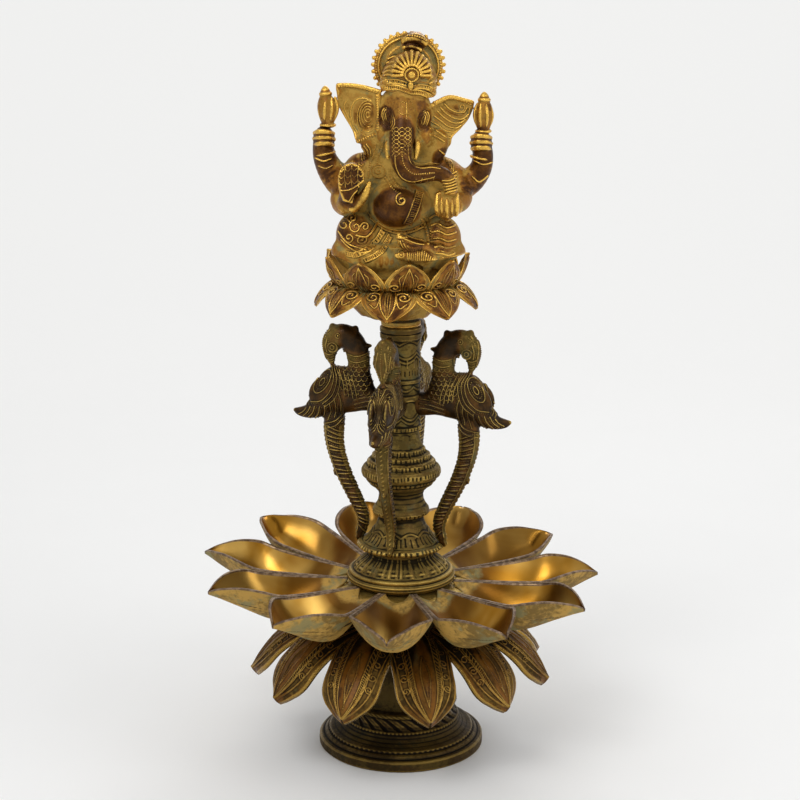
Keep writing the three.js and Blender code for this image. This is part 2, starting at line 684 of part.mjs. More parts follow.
// A ring of petals as one scalloped surface: u runs from root to edge, v round the ring.
// Each end of it is a radius and a height, `bow` swells it between them, and `inset` thins it.
function petalRing({ count, first, root, tip, notch, bow, roundness, inset }) {
  return (u, v) => {
    const phase = ((v * count + 0.5) % 1) * 2 - 1; // 0 on a petal's centre line, 1 between two
    const point = 1 - Math.abs(phase) ** roundness;
    const swell = Math.sin(Math.PI * u) * (0.55 + 0.45 * point);
    const r = root[0] + (notch[0] + (tip[0] - notch[0]) * point - root[0]) * u + bow[0] * swell;
    const z = root[1] + (notch[1] + (tip[1] - notch[1]) * point - root[1]) * u + bow[1] * swell;
    const wall = seatWall + (seatPetalEdge - seatWall) * u;
    return around(first + 360 * v, r + wall * inset[0], z + wall * inset[1]);
  };
}

function makeSeat() {
  const lowerRootZ = seatLedgeZ - lowerPetalRootDrop;
  const lower = {
    count: lowerPetalCount,
    first: firstLowerPetalAngle,
    root: [seatRimRadius - 1, lowerRootZ],
    tip: [lowerPetalReach, lowerRootZ - lowerPetalDrop],
    notch: [lowerNotchReach, lowerRootZ - lowerNotchDrop],
    bow: [4.6, 3],
    roundness: 1.35,
  };
  const upper = {
    count: upperPetalCount,
    first: firstUpperPetalAngle,
    root: [seatRimRadius - 0.6, lowerRootZ - 1],
    tip: [upperPetalReach, seatLedgeZ + upperPetalRise],
    notch: [upperNotchReach, seatLedgeZ + upperNotchRise],
    bow: [4, -3.4],
    roundness: 1.9,
  };
  const ring = (shape, outset, inset, steps) =>
    plate(
      petalRing({ ...shape, inset: outset }),
      petalRing({ ...shape, inset }),
      steps,
      shape.count * 6,
      true,
    );
  const cup = revolve([
    [0, seatZ],
    [seatCollarRadius, seatZ],
    [seatCollarRadius, seatFloorZ],
    [seatCollarRadius + 9, seatFloorZ + 2],
    [seatRimRadius - 1, lowerRootZ - 9],
    [seatRimRadius + 1, lowerRootZ - 2],
    [seatRimRadius, seatLedgeZ],
    [seatLedgeRadius, seatLedgeZ],
    [seatLedgeRadius, lowerRootZ - 8],
    [seatCollarRadius, seatFloorTopZ],
    [0, seatFloorTopZ],
  ], 24);
  const petals = join(cup, ring(lower, [0, 0], [-0.5, -1], 3), ring(upper, [0.2, -0.2], [-0.8, 0.3], 2));
  const shifted = petals.translate([seatShift, 0, 0]);
  const collar = disc(seatCollarRadius, seatZ, seatFloorZ + 3, 24);
  return cut(join(shifted, collar), disc(rodRadius + runningGap, seatZ - 1, seatFloorTopZ + 1, 12));
}

// Figure

const sideways = new THREE.Vector3(1, 0, 0);
const upright = new THREE.Vector3(0, 0, 1);
const foreAndAft = new THREE.Vector3(0, 1, 0);

// An ear fans out from the cheek to a curved outer edge.
function makeEar(root, edge, thickness) {
  const rootLine = new THREE.CatmullRomCurve3(root.map((p) => new THREE.Vector3(...p)));
  const edgeLine = new THREE.CatmullRomCurve3(edge.map((p) => new THREE.Vector3(...p)));
  const front = (u, v) => {
    const p = rootLine.getPoint(v).lerp(edgeLine.getPoint(v), u);
    p.y += 4 * Math.sin(Math.PI * u) * Math.sin(Math.PI * v);
    return p;
  };
  const back = (u, v) => front(u, v).add(new THREE.Vector3(0, thickness * (1.2 - 0.5 * u), 0));
  return plate(front, back, 3, 4);
}

// The halo: a plate with a beaded edge that stands behind the crown.
function makeHalo([x, y, z], radius, thickness, beads = 22) {
  const outline = new THREE.Shape();
  const sweep = 270;
  for (let i = 0; i <= beads * 2; i++) {
    const a = THREE.MathUtils.degToRad(-sweep / 2 + (sweep * i) / (beads * 2));
    const r = radius * (i % 2 ? 1 : 0.93);
    outline[i === 0 ? "moveTo" : "lineTo"](r * Math.sin(a), r * Math.cos(a) * 0.95);
  }
  outline.closePath();
  const made = new THREE.ExtrudeGeometry(outline, { depth: thickness, bevelEnabled: false });
  return solidOf(made.rotateX(Math.PI / 2).translate(x, y + thickness, z));
}

function makeLegs() {
  return join(
    lump([0, 2, 24], [31, 22, 19], { sides: 12, rings: 6 }),
    lump([-25.4, -11, 26], [14, 13, 15], { turn: [0, 0, -10], sides: 12, rings: 6 }),
    lump([25.4, -11, 24], [12.8, 13, 15], { turn: [0, 0, 10], sides: 12, rings: 6 }),
    limb([
      [[-36, -10, 16], 7, 7],
      [[-29, -17, 14.5], 9, 8],
      [[-18, -24, 15], 9, 8],
      [[-6, -27, 14], 7, 6.4],
      [[2, -27, 12], 5, 5],
    ], upright, { steps: 5 }),
    limb([
      [[35, -8, 15], 7, 7],
      [[30, -17, 14], 9, 8],
      [[22, -25, 16.5], 8, 7],
      [[14, -31, 20], 6, 5.4],
      [[5.4, -34, 25.2], 5.2, 4.6],
      [[-2, -35.4, 29.4], 2.4, 2.2],
    ], upright, { steps: 7 }),
  );
}

function makeMouse() {
  return join(
    lump([12, -35.5, 13], [10.5, 5.6, 6.4], { turn: [0, 14, 0], sides: 10, rings: 6 }),
    lump([1.6, -37, 17.4], [5.2, 4, 4.4], { turn: [0, -16, 0], sides: 8, rings: 6 }),
    lump([5.4, -34, 20], [2.4, 2, 2.6], { sides: 6, rings: 4 }),
  );
}

function makeTorso() {
  return join(
    lump([2, 1, 45], [33, 17, 20], { sides: 12, rings: 6 }),
    lump([2, -11, 46], [20, 19.4, 17], { sides: 14, rings: 8 }),
    lump([3, -2, 70], [28, 14.6, 18], { sides: 12, rings: 6 }),
    lump([-26, -1, 66], [13, 11, 15], { turn: [0, -14, 0] }),
    lump([31.6, -1, 66], [13.4, 11.4, 15], { turn: [0, 14, 0] }),
    lump([2.4, -3, 84], [19, 13, 12], { sides: 12, rings: 6 }),
  );
}

function makeTusk(points) {
  return limb(points, sideways, { steps: 3, sides: 6 });
}

function makeHead() {
  return join(
    lump([2.7, -7, 102], [17.4, 17, 17.5], { turn: [0, 6, 0], sides: 14, rings: 8 }),
    lump([1.6, -10, 88], [15, 13, 12]),
    limb([
      [[2.6, -13, 110], 8, 6],
      [[2, -20, 102], 8.6, 8],
      [[0.6, -25, 92], 8.4, 8],
      [[-0.8, -29, 81], 8, 7.6],
      [[0.2, -32, 73.4], 7.4, 7],
      [[6.5, -34, 68.6], 6.6],
      [[14.8, -34.6, 69.2], 5.8],
      [[22.4, -34.4, 70.4], 5.3],
      [[28, -34, 67.4], 4.8],
      [[30.2, -33.4, 61.6], 4.2],
      [[29.6, -33, 55], 3.6],
    ], new THREE.Vector3(1, 0, 0.3), { steps: 14 }),
    makeTusk([[[-8.6, -17, 91], 3], [[-9, -21.6, 85.6], 2.8], [[-7.6, -25, 79], 1.5]]),
    makeTusk([[[10.4, -17, 90], 3], [[9.8, -21.6, 85.6], 2.8], [[8.8, -25, 81], 1.5]]),
    makeEar(
      [[-10, -9, 114], [-13, -11, 100], [-10, -10, 86]],
      [[-39, 0, 116.6], [-38, -2, 104], [-25.4, -7, 82.6]],
      3.6,
    ),
    makeEar(
      [[14, -9, 110], [18, -11, 98], [14, -10, 86]],
      [[44, 0, 106.4], [41.6, -1, 98], [30.9, -6, 84.4]],
      3.6,
    ),
  );
}

function makeCrown() {
  const radii = through([0, 18], [0.25, 18.4], [0.5, 16.4], [0.8, 10], [1, 3.4]);
  const outline = [[0, 0], [16, 0], [18.6, 0.6], [18.6, 4.4]];
  for (let i = 1; i <= 6; i++) outline.push([radii(i / 6), 5 + (20 * i) / 6]);
  outline.push([0, 25.6]);
  const dome = revolve(outline, 20).scale([1, 0.92, 1]).rotate([6, 8, 0]).translate([4.6, -4, 113]);
  return join(
    dome,
    lump([6.3, -18.6, 124.4], [4.8, 3.4, 4.8], { sides: 10, rings: 6 }),
    makeHalo([4.4, 5, 127.4], 22.2, 4.4),
    lump([7.4, 3, 141.6], [6.4, 5, 5], { sides: 8, rings: 6 }),
  );
}

// The two raised arms, each with a bud in its hand. `hand` and `elbow` are [x, z].
function makeRaisedArm(side, hand, budX, elbow, elbowRadius) {
  return join(
    limb([
      [[elbow[0] - side * 12, 0, elbow[1] + 4], elbowRadius, 10],
      [[elbow[0], 0, elbow[1]], elbowRadius, 9],
      [[elbow[0] + side * 6.6, -1, elbow[1] + 9], 8.2, 7.8],
      [[hand[0] + side * 1.2, -2, hand[1] - 14], 6.4, 6.6],
      [[hand[0], -4, hand[1] - 5], 6.4, 6.2],
    ], foreAndAft, { steps: 8 }),
    lump([hand[0], -5, hand[1]], [7.2, 6.8, 8.4], { sides: 10, rings: 6 }),
    revolve([[0, 0], [3.8, 0], [5.8, 5], [6.4, 10], [5.6, 15.6], [3.4, 18.6], [2.6, 20.4], [0, 22.6]], 10)
      .translate([budX, -6, hand[1] + 5]),
  );
}

// The lowered hand on the viewer's left is held up open; the one on the right holds sweets.
function makeLoweredArms() {
  return join(
    limb([
      [[-28, -4, 62], 10, 8.6],
      [[-34.4, -9, 48], 8, 7.4],
      [[-32, -18, 46], 7, 6.4],
      [[-30, -25, 55], 6.6, 5],
    ], foreAndAft, { steps: 6 }),
    lump([-30, -27, 64], [8, 4.6, 10], { turn: [0, 6, 0], sides: 10, rings: 8 }),
    limb([[[-27, -25, 51], 4.4], [[-21.6, -27.4, 56], 3.6], [[-18.4, -28.4, 62.6], 2.2]], foreAndAft, {
      steps: 4,
      sides: 6,
    }),
    limb([
      [[33, -4, 62], 10, 8.6],
      [[38, -11, 50], 7.6, 7.4],
      [[32, -22, 48], 7, 6.6],
    ], foreAndAft, { steps: 5 }),
    lump([27.6, -29, 47.6], [8.4, 7.4, 9.6], { sides: 10, rings: 8 }),
  );
}

function makeFigure() {
  const base = revolve([[0, 0], [30, 0], [31, 12], [29, 22], [0, 27]], 18).translate([-1.4, 0, 0]);
  const scale = figureHeight / figurePatternHeight;
  const body = join(
    base,
    makeLegs(),
    makeMouse(),
    makeTorso(),
    makeHead(),
    makeCrown(),
    makeRaisedArm(-1, [-45.6, 89.6], -43.4, [-36, 58], 12),
    makeRaisedArm(1, [50.2, 84.8], 51.2, [38, 57.4], 9.8),
    makeLoweredArms(),
  ).scale([scale, scale, scale]).translate([figureShift, 0, figureZ]);
  const studTopZ = studBottomZ + studLength;
  const bowl = revolve([
    [figureSocketRadius, figureZ - 30],
    [figureSocketRadius, figureZ + 3],
    [upperNotchReach - 4.4, seatLedgeZ + upperNotchRise + 3],
    [upperPetalReach - 3.2, seatLedgeZ + upperPetalRise + 0.6],
    [upperPetalReach + 40, seatLedgeZ + upperPetalRise + 0.6],
    [upperPetalReach + 40, figureZ - 30],
  ], 24).translate([seatShift, 0, 0]);
  const below = disc(figureSocketRadius + 40, figureZ - 30, figureZ, 16);
  return cut(body, bowl, below, disc(rodRadius + runningGap, figureZ - 1, studTopZ + 1, 12));
}

// Fastenings

function makeNut(z0, z1) {
  const corner = nutFlats / Math.sqrt(3);
  const hexagon = revolve([[0, z0], [corner, z0], [corner, z1], [0, z1]], 6);
  return cut(hexagon, disc(rodRadius + runningGap, z0 - 1, z1 + 1, 12));
}

const washerTopZ = footTopZ - footWebThickness - seatGap;
const nutTopZ = washerTopZ - washerThickness - seatGap;

function makeWasher() {
  const washer = disc(washerRadius, washerTopZ - washerThickness, washerTopZ, 20);
  return cut(washer, disc(rodRadius + runningGap, washerTopZ - washerThickness - 1, washerTopZ + 1, 12));
}

// Rods and studs have chamfered ends.
function makeRod(z0, z1) {
  const chamfer = rodRadius * 0.2;
  return revolve([
    [0, z0],
    [rodRadius - chamfer, z0],
    [rodRadius, z0 + chamfer],
    [rodRadius, z1 - chamfer],
    [rodRadius - chamfer, z1],
    [0, z1],
  ], 12);
}

// The assembly

const lamp = new THREE.Group();
lamp.name = "ganesha_oil_lamp";

function addPiece(name, solid, finish, group = lamp) {
  const mesh = new THREE.Mesh(geometryOf(solid), new THREE.MeshStandardMaterial(finishes[finish]));
  mesh.name = name;
  group.add(mesh);
}

const pad = (i) => String(i + 1).padStart(2, "0");

addPiece("foot", makeFoot(), "darkBronze");
addPiece("leaf_ring", makeLeafRing(), "darkBronze");
for (let i = 0; i < leafCount; i++) {
  addPiece("leaf_" + pad(i), makeLeaf(firstLeafAngle + (360 / leafCount) * i), "olivePatina");
}
addPiece("dish_hub", makeHub(), "olivePatina");
petalAngles.forEach((_, i) => addPiece("petal_" + pad(i), makePetal(i), "satinGold"));
addPiece("bell", makeBell(), "olivePatina");
addPiece("column", makeColumn(), "olivePatina");
for (const [where, angle] of Object.entries(peacockAngles)) {
  addPiece("peacock_" + where, makePeacock(angle), "olivePatina");
}
addPiece("tie_rod", makeRod(rodBottomZ, rodTopZ), "brass");
addPiece("tie_washer", makeWasher(), "brass");
addPiece("tie_nut", makeNut(nutTopZ - nutHeight, nutTopZ), "brass");

const top = new THREE.Group();
lamp.add(top);
addPiece("top_stud", makeRod(studBottomZ, studBottomZ + studLength), "brass", top);
const seatNutZ = seatFloorTopZ + seatGap;
addPiece("seat_nut", makeNut(seatNutZ, seatNutZ + seatNutHeight), "brass", top);
addPiece("lotus_seat", makeSeat(), "goldPatina", top);
addPiece("ganesha_figure", makeFigure(), "goldPatina", top);

export default lamp;
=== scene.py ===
# Ganesha oil lamp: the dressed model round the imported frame
# Lengths are in millimetres until a mesh is made
import bpy
import math
import numpy as np
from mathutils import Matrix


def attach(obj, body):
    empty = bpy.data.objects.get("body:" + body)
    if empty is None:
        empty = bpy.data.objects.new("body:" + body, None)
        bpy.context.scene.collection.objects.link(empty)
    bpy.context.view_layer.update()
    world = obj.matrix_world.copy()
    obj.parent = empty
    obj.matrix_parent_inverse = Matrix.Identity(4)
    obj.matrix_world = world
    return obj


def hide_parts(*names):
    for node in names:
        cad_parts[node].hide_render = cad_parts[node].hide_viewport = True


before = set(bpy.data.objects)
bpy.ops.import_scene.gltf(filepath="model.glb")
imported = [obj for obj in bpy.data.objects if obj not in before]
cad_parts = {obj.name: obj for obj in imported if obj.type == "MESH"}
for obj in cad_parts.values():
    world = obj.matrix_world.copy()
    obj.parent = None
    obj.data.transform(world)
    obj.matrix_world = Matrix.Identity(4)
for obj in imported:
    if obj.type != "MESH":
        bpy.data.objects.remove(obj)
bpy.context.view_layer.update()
mm = 0.001
coarse = 1.0  # quick tries use larger steps


# Curves and fields

def curveThrough(*pairs):
    # a smooth function through a few pairs, flat past both ends
    xs, ys = np.array(pairs, float).T
    last = len(xs) - 1
    before = [max(i - 1, 0) for i in range(last + 1)]
    after = [min(i + 1, last) for i in range(last + 1)]
    slopes = (ys[after] - ys[before]) / (xs[after] - xs[before])

    def value(x):
        x = np.clip(np.asarray(x, float), xs[0], xs[-1])
        i = np.clip(np.searchsorted(xs, x, side="right") - 1, 0, last - 1)
        h = xs[i + 1] - xs[i]
        t = (x - xs[i]) / h
        return (ys[i] * (2 * t**3 - 3 * t**2 + 1) + ys[i + 1] * (3 * t**2 - 2 * t**3)
                + h * (slopes[i] * (t**3 - 2 * t**2 + t) + slopes[i + 1] * (t**3 - t**2)))
    return value


def smoothStep(low, high, x):
    t = np.clip((x - low) / (high - low), 0, 1)
    return t * t * (3 - 2 * t)


def flowing(points, count=24):
    # a smooth line through given points
    points = np.array(points, float)
    t = np.linspace(0, len(points) - 1, count)
    return np.stack([curveThrough(*zip(range(len(points)),
        points[:, k]))(t) for k in range(points.shape[1])], 1)


def spiral(x, z, radius, turns, start, hand=1, count=30):
    # starts at the outside, at an angle in degrees, and winds in to about a fifth of its radius
    t = np.linspace(0, 1, count)
    a = np.radians(start) + hand * 2 * math.pi * turns * t
    r = radius * (1 - 0.82 * t)
    return np.stack([x + r * np.cos(a), z + r * np.sin(a)], 1)


def ring(x, z, radius):
    a = np.linspace(0, 2 * math.pi, 28)
    return np.stack([x + radius * np.cos(a), z + radius * np.sin(a)], 1)


def alongCurve(points, curve):
    # distance to a polyline and the length along it, for many points
    best = np.full(len(points), 1e9)
    along = np.zeros(len(points))
    run = 0.0
    for a, b in zip(curve[:-1], curve[1:]):
        ab = b - a
        length = math.sqrt(float(ab @ ab)) + 1e-9
        t = np.clip(((points - a) @ ab) / length**2, 0, 1)
        d = np.sqrt(((points - a - t[:, None] * ab) ** 2).sum(1))
        near = d < best
        best[near] = d[near]
        along[near] = run + t[near] * length
        run += length
    return best, along


def threads(points, lines):
    # height of wax threads laid on a surface
    # a line is (curve, width, height), and its bead pitch if it is beaded
    total = np.zeros(len(points))
    for line in lines:
        curve, width, height = line[:3]
        low = curve.min(0) - width
        high = curve.max(0) + width
        inside = np.flatnonzero(((points >= low) & (points <= high)).all(1))
        if len(inside) == 0:
            continue
        d, along = alongCurve(points[inside], curve)
        rise = height * np.sqrt(np.clip(1 - (2 * d / width) ** 2, 0, 1))
        if len(line) > 3:
            rise = rise * (0.55 + 0.45 * np.cos(2 * math.pi * along / line[3]))
        if height > 0:
            total[inside] = np.maximum(total[inside], rise)
        else:
            total[inside] = np.minimum(total[inside], rise)
    return total


# Meshes

floorGap = 0.05  # nothing comes nearer to the floor
wearScale = {"nearRounds": 4, "wideRounds": 26, "nearBend": 0.10, "wideBend": 0.45, "closeRounds": 10}
# how far in front, and its share
shelterScale = {"cell": 1.6, "margin": 24, "near": (3.4, 2.6), "wide": (6.6, 3.6)}


def makeMesh(name, points, faces, body, material, replaces=(), polish=None, raised=None, form=0):
    data = bpy.data.meshes.new(name)
    points = np.maximum(points, [-np.inf, -np.inf, floorGap])
    if enclosed(points, faces) < 0:  # faces point outwards
        faces = faces[:, ::-1]
    points = np.asarray(points, np.float32) * mm
    faces = np.asarray(faces, np.int32)
    sides = faces.shape[1]
    data.vertices.add(len(points))
    data.vertices.foreach_set("co", points.ravel())
    data.loops.add(faces.size)
    data.loops.foreach_set("vertex_index", faces.ravel())
    data.polygons.add(len(faces))
    data.polygons.foreach_set("loop_start", np.arange(0, faces.size, sides, dtype=np.int32))
    data.update(calc_edges=True)
    data.validate()
    data.shade_smooth()
    addWear(data, points / mm, faces, raised, form)
    setValues(data, "polish", np.zeros(len(points)) if polish is None else polish)
    piece = bpy.data.objects.new(name, data)
    bpy.context.scene.collection.objects.link(piece)
    data.materials.append(material)
    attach(piece, body)
    if replaces:
        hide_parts(*replaces)
    return piece


def setValues(data, name, values):
    data.attributes.new(name, "FLOAT", "POINT").data.foreach_set("value", np.asarray(values, np.float32))


def enclosed(points, faces):
    a, b, c, d = [points[faces[:, k]] for k in (0, 1, 2, -1)]
    return ((np.cross(b - a, c - a) + np.cross(c - a, d - a)) * a).sum()


def vertexNormals(points, faces):
    diagonal = np.cross(points[faces[:, 2]] - points[faces[:, 0]],
                        points[faces[:, -1]] - points[faces[:, 1]])
    normals = np.zeros_like(points)
    for k in range(faces.shape[1]):
        for axis in range(3):
            normals[:, axis] += np.bincount(faces[:, k], diagonal[:, axis], len(points))
    return normals / (np.linalg.norm(normals, axis=1, keepdims=True) + 1e-12)


def edgesOf(faces):
    pairs = np.concatenate([faces[:, [k, (k + 1) % faces.shape[1]]] for k in range(faces.shape[1])])
    pairs.sort(axis=1)
    return np.unique(pairs, axis=0)


def spread(values, edges, count, rounds):
    # averages a value over its neighbours, a few times
    degree = np.bincount(edges.ravel(), minlength=count) + 1.0
    for _ in range(rounds):
        sums = values + np.bincount(edges[:, 0], values[edges[:, 1]], count)
        sums = sums + np.bincount(edges[:, 1], values[edges[:, 0]], count)
        values = sums / degree
    return values


def addWear(data, points, faces, raised=None, form=0):
    # the surface's bend at two scales, high on ridges and raised threads and low in hollows: it sets wear on
    # the ridges and painted shade in the creases
    w = wearScale
    points = points.astype(float)
    edges = edgesOf(faces)
    count = len(points)
    normals = vertexNormals(points, faces)
    bends = []
    for rounds in (w["nearRounds"], int(w["wideRounds"] / coarse)):
        mean = np.stack([spread(points[:, k], edges, count, rounds) for k in range(3)], 1)
        bends.append(((points - mean) * normals).sum(1))
    bend = np.clip(bends[0] / w["nearBend"], -1, 1) * 0.6 + np.clip(bends[1] / w["wideBend"], -1, 1) * 0.3
    bend = spread(bend, edges, count, 1) + form
    if raised is not None:
        raised = np.clip(raised, 0, 1)
        close = spread(raised, edges, count, int(w["closeRounds"] / coarse)) * (raised < 0.08)
        bend = np.maximum(bend, raised * 0.95) - 1.1 * close
    setValues(data, "wear", bend)


def boxMean(field, reach):
    # the mean of a field over a small box round each cell
    width = 2 * reach + 1
    for axis in range(3):
        padding = [(reach + 1, reach) if k == axis else (0, 0) for k in range(3)]
        sums = np.cumsum(np.pad(field, padding), axis=axis)
        n = sums.shape[axis]
        field = (np.take(sums, range(width, n), axis) - np.take(sums, range(0, n - width), axis)) / width
    return field


def sampled(field, at):
    # a field's values between its cells
    base = np.clip(np.floor(at).astype(int), 0, np.array(field.shape) - 2)
    part = at - base
    total = np.zeros(len(at))
    for corner in range(8):
        offset = np.array([corner & 1, corner >> 1 & 1, corner >> 2 & 1])
        total += np.prod(np.where(offset, part, 1 - part), axis=1) * field[tuple((base + offset).T)]
    return total


def addShelter(pieces):
    # "shelter" is high where other surfaces stand close in front, as under petals and beside arms; it sets
    # real dust and painted shade
    cell, margin = shelterScale["cell"], shelterScale["margin"]
    gathered = []
    for piece in pieces:
        count = len(piece.data.vertices)
        points, normals = np.empty(count * 3, np.float32), np.empty(count * 3, np.float32)
        piece.data.vertices.foreach_get("co", points)
        piece.data.vertex_normals.foreach_get("vector", normals)
        gathered.append((points.reshape(-1, 3) / mm, normals.reshape(-1, 3)))
    low = np.min([p.min(0) for p, _ in gathered], axis=0) - margin
    high = np.max([p.max(0) for p, _ in gathered], axis=0) + margin
    field = np.zeros(np.ceil((high - low) / cell).astype(int) + 1, np.float32)
    for points, _ in gathered:
        field[tuple(((points - low) / cell).astype(int).T)] = 1
    near, wide = boxMean(boxMean(field, 1), 1), boxMean(boxMean(field, 3), 2)
    for piece, (points, normals) in zip(pieces, gathered):
        total = np.zeros(len(points))
        for blurred, (away, share) in ((near, shelterScale["near"]), (wide, shelterScale["wide"])):
            total += share * sampled(blurred, (points - low) / cell + normals * away)
        setValues(piece.data, "shelter", np.clip(total, 0, 1))


def gridFaces(rows, columns, closed=False):
    # closed joins the last row and column to the first ones
    short = 0 if closed else 1
    i, j = np.meshgrid(np.arange(rows - short), np.arange(columns - short), indexing="ij")
    here, after = i * columns, (i + 1) % rows * columns
    beside = (j + 1) % columns
    return np.stack([here + j, after + j, after + beside, here + beside], -1).reshape(-1, 4)


def sheetGrid(rows, columns):
    # two coordinates from 0 to 1 over a sheet, with as many steps as the try asks for
    return np.meshgrid(np.linspace(0, 1, int(rows / coarse)), np.linspace(0, 1, int(columns / coarse)),
                       indexing="ij")


def sheetNormals(sheet, outward, row, column):
    # unit normals over a grid of points, turned so that the one at row and column points outward
    normal = np.cross(np.gradient(sheet, axis=1), np.gradient(sheet, axis=0))
    normal /= np.linalg.norm(normal, axis=-1, keepdims=True) + 1e-9
    return -normal if normal[row, column] @ outward < 0 else normal


def shellMesh(upper, lower):
    # two grids of points, closed round the edge
    rows, columns = upper.shape[:2]
    points = np.concatenate([upper.reshape(-1, 3), lower.reshape(-1, 3)])
    top = gridFaces(rows, columns)
    bottom = top[:, ::-1] + rows * columns
    edge = np.concatenate([np.arange(columns), np.arange(1, rows) * columns + columns - 1,
                           (rows - 1) * columns + np.arange(columns - 2, -1, -1),
                           np.arange(rows - 2, 0, -1) * columns])
    after = np.roll(edge, -1)
    other = rows * columns
    sides = np.stack([edge, after, after + other, edge + other], 1)
    return points, np.concatenate([top, bottom, sides])


# Sculpting with soft-joined forms: each form gives its distance in a box, and they are blended into one field

farAway = 9.0  # counts as well outside every form


def turnedBy(a, b, degrees):
    c, s = math.cos(math.radians(degrees)), math.sin(math.radians(degrees))
    return a * c - b * s, a * s + b * c


class Sculpture:
    def __init__(self, low, high, step):
        self.step = step
        self.low = np.array(low, float)
        self.shape = tuple(int(math.ceil((h - l) / step)) + 1 for l, h in zip(low, high))
        self.field = np.full(self.shape, farAway, np.float32)
        self.axes = [self.low[k] + step * np.arange(self.shape[k]) for k in range(3)]

    def region(self, low, high):
        pieces = []
        for k in range(3):
            a = max(0, int((low[k] - self.low[k]) / self.step) - 1)
            b = min(self.shape[k], int((high[k] - self.low[k]) / self.step) + 3)
            pieces.append(slice(a, max(a + 1, b)))
        grid = np.meshgrid(*[self.axes[k][pieces[k]] for k in range(3)], indexing="ij")
        return tuple(pieces), np.stack(grid, -1)

    def blend(self, place, distance, soft):
        old = self.field[place]
        h = np.clip(0.5 + 0.5 * (old - distance) / soft, 0, 1)
        self.field[place] = old * (1 - h) + distance * h - soft * h * (1 - h)

    def egg(self, centre, radii, turn=0.0, soft=3.0):
        # turn is in degrees about the line of sight, clockwise
        reach = max(radii) + soft + 2
        place, p = self.region(np.array(centre) - reach, np.array(centre) + reach)
        q = p - np.array(centre)
        x, z = turnedBy(q[..., 0], q[..., 2], turn)
        r = np.array(radii, float)
        k0 = np.sqrt((x / r[0]) ** 2 + (q[..., 1] / r[1]) ** 2 + (z / r[2]) ** 2)
        k1 = np.sqrt((x / r[0] ** 2) ** 2 + (q[..., 1] / r[1] ** 2) ** 2 + (z / r[2] ** 2) ** 2) + 1e-6
        self.blend(place, k0 * (k0 - 1) / k1, soft)

    def limb(self, stations, flat=1.0, soft=2.5, count=None):
        # stations are (x, y, z, radius); flat squeezes it along y
        stations = flowing(stations, count or 3 * len(stations))
        reach = stations[:, 3].max() + soft + 2
        place, p = self.region(stations[:, :3].min(0) - reach, stations[:, :3].max(0) + reach)
        distance = np.full(p.shape[:-1], farAway, np.float32)
        for a, b in zip(stations[:-1], stations[1:]):
            ab = b[:3] - a[:3]
            q = p - a[:3]
            t = np.clip((q @ ab) / (ab @ ab + 1e-9), 0, 1)
            away = q - t[..., None] * ab
            away[..., 1] /= flat
            distance = np.minimum(distance, np.sqrt((away**2).sum(-1)) - (a[3] + t * (b[3] - a[3])))
        self.blend(place, distance, soft)

    def plate(self, outline, thickness, depthAt, soft=1.2):
        # a sheet whose outline is drawn in x and z, at a depth y that varies
        outline = np.array(outline, float)
        depth = depthAt(outline[:, 0], outline[:, 1])
        low = [outline[:, 0].min() - 4, depth.min() - 8, outline[:, 1].min() - 4]
        high = [outline[:, 0].max() + 4, depth.max() + 8, outline[:, 1].max() + 4]
        place, p = self.region(low, high)
        x, z = p[:, 0, :, 0], p[:, 0, :, 2]
        flatPoints = np.stack([x.ravel(), z.ravel()], 1)
        closed = np.vstack([outline, outline[:1]])
        d, _ = alongCurve(flatPoints, closed)
        inside = insideOutline(flatPoints, closed)
        d = np.where(inside, -d, d).reshape(x.shape)[:, None, :]
        thick = thickness(x, z)[:, None, :] if callable(thickness) else thickness
        sheet = np.abs(p[..., 1] - depthAt(x, z)[:, None, :]) - thick / 2
        corner = np.sqrt(np.maximum(d, 0) ** 2 + np.maximum(sheet, 0) ** 2)
        self.blend(place, corner + np.minimum(np.maximum(d, sheet), 0), soft)

    def turned(self, profile, centre, tilt=(0, 0), squeeze=1.0, soft=1.5):
        # a turned form: profile is (radius, height); tilt in degrees leans it forward and sideways
        profile = np.array(profile, float)
        reach = np.abs(profile).max() + soft + 2
        place, p = self.region(np.array(centre) - reach, np.array(centre) + reach)
        q = p - np.array(centre)
        y, z = turnedBy(q[..., 1], q[..., 2], -tilt[0])
        x, z = turnedBy(q[..., 0], z, tilt[1])
        r = np.sqrt(x**2 + (y / squeeze) ** 2)
        flatPoints = np.stack([r.ravel(), z.ravel()], 1)
        whole = np.vstack([profile, profile[::-1] * [-1, 1], profile[:1]])
        d, _ = alongCurve(flatPoints, profile)
        inside = insideOutline(flatPoints, whole)
        self.blend(place, np.where(inside, -d, d).reshape(r.shape), soft)

    def mesh(self):
        return surfaceOf(self.field, self.low, self.step)

    def form(self, points, reach=2.6):
        # above 0 where the form bulges and below 0 where it is hollowed, over a few millimetres
        soft = boxMean(np.clip(self.field, -3, 3), max(1, round(reach / self.step)))
        bulge = sampled(soft, (points - self.low) / self.step)
        return np.clip(np.where(bulge > 0, (bulge - 0.08) * 1.3, bulge * 0.9), -0.45, 0.6)


def insideOutline(points, closed):
    inside = np.zeros(len(points), bool)
    for (x0, y0), (x1, y1) in zip(closed[:-1], closed[1:]):
        if y0 == y1:
            continue
        crosses = (points[:, 1] < max(y0, y1)) & (points[:, 1] >= min(y0, y1))
        inside ^= crosses & (points[:, 0] < x0 + (points[:, 1] - y0) * (x1 - x0) / (y1 - y0))
    return inside


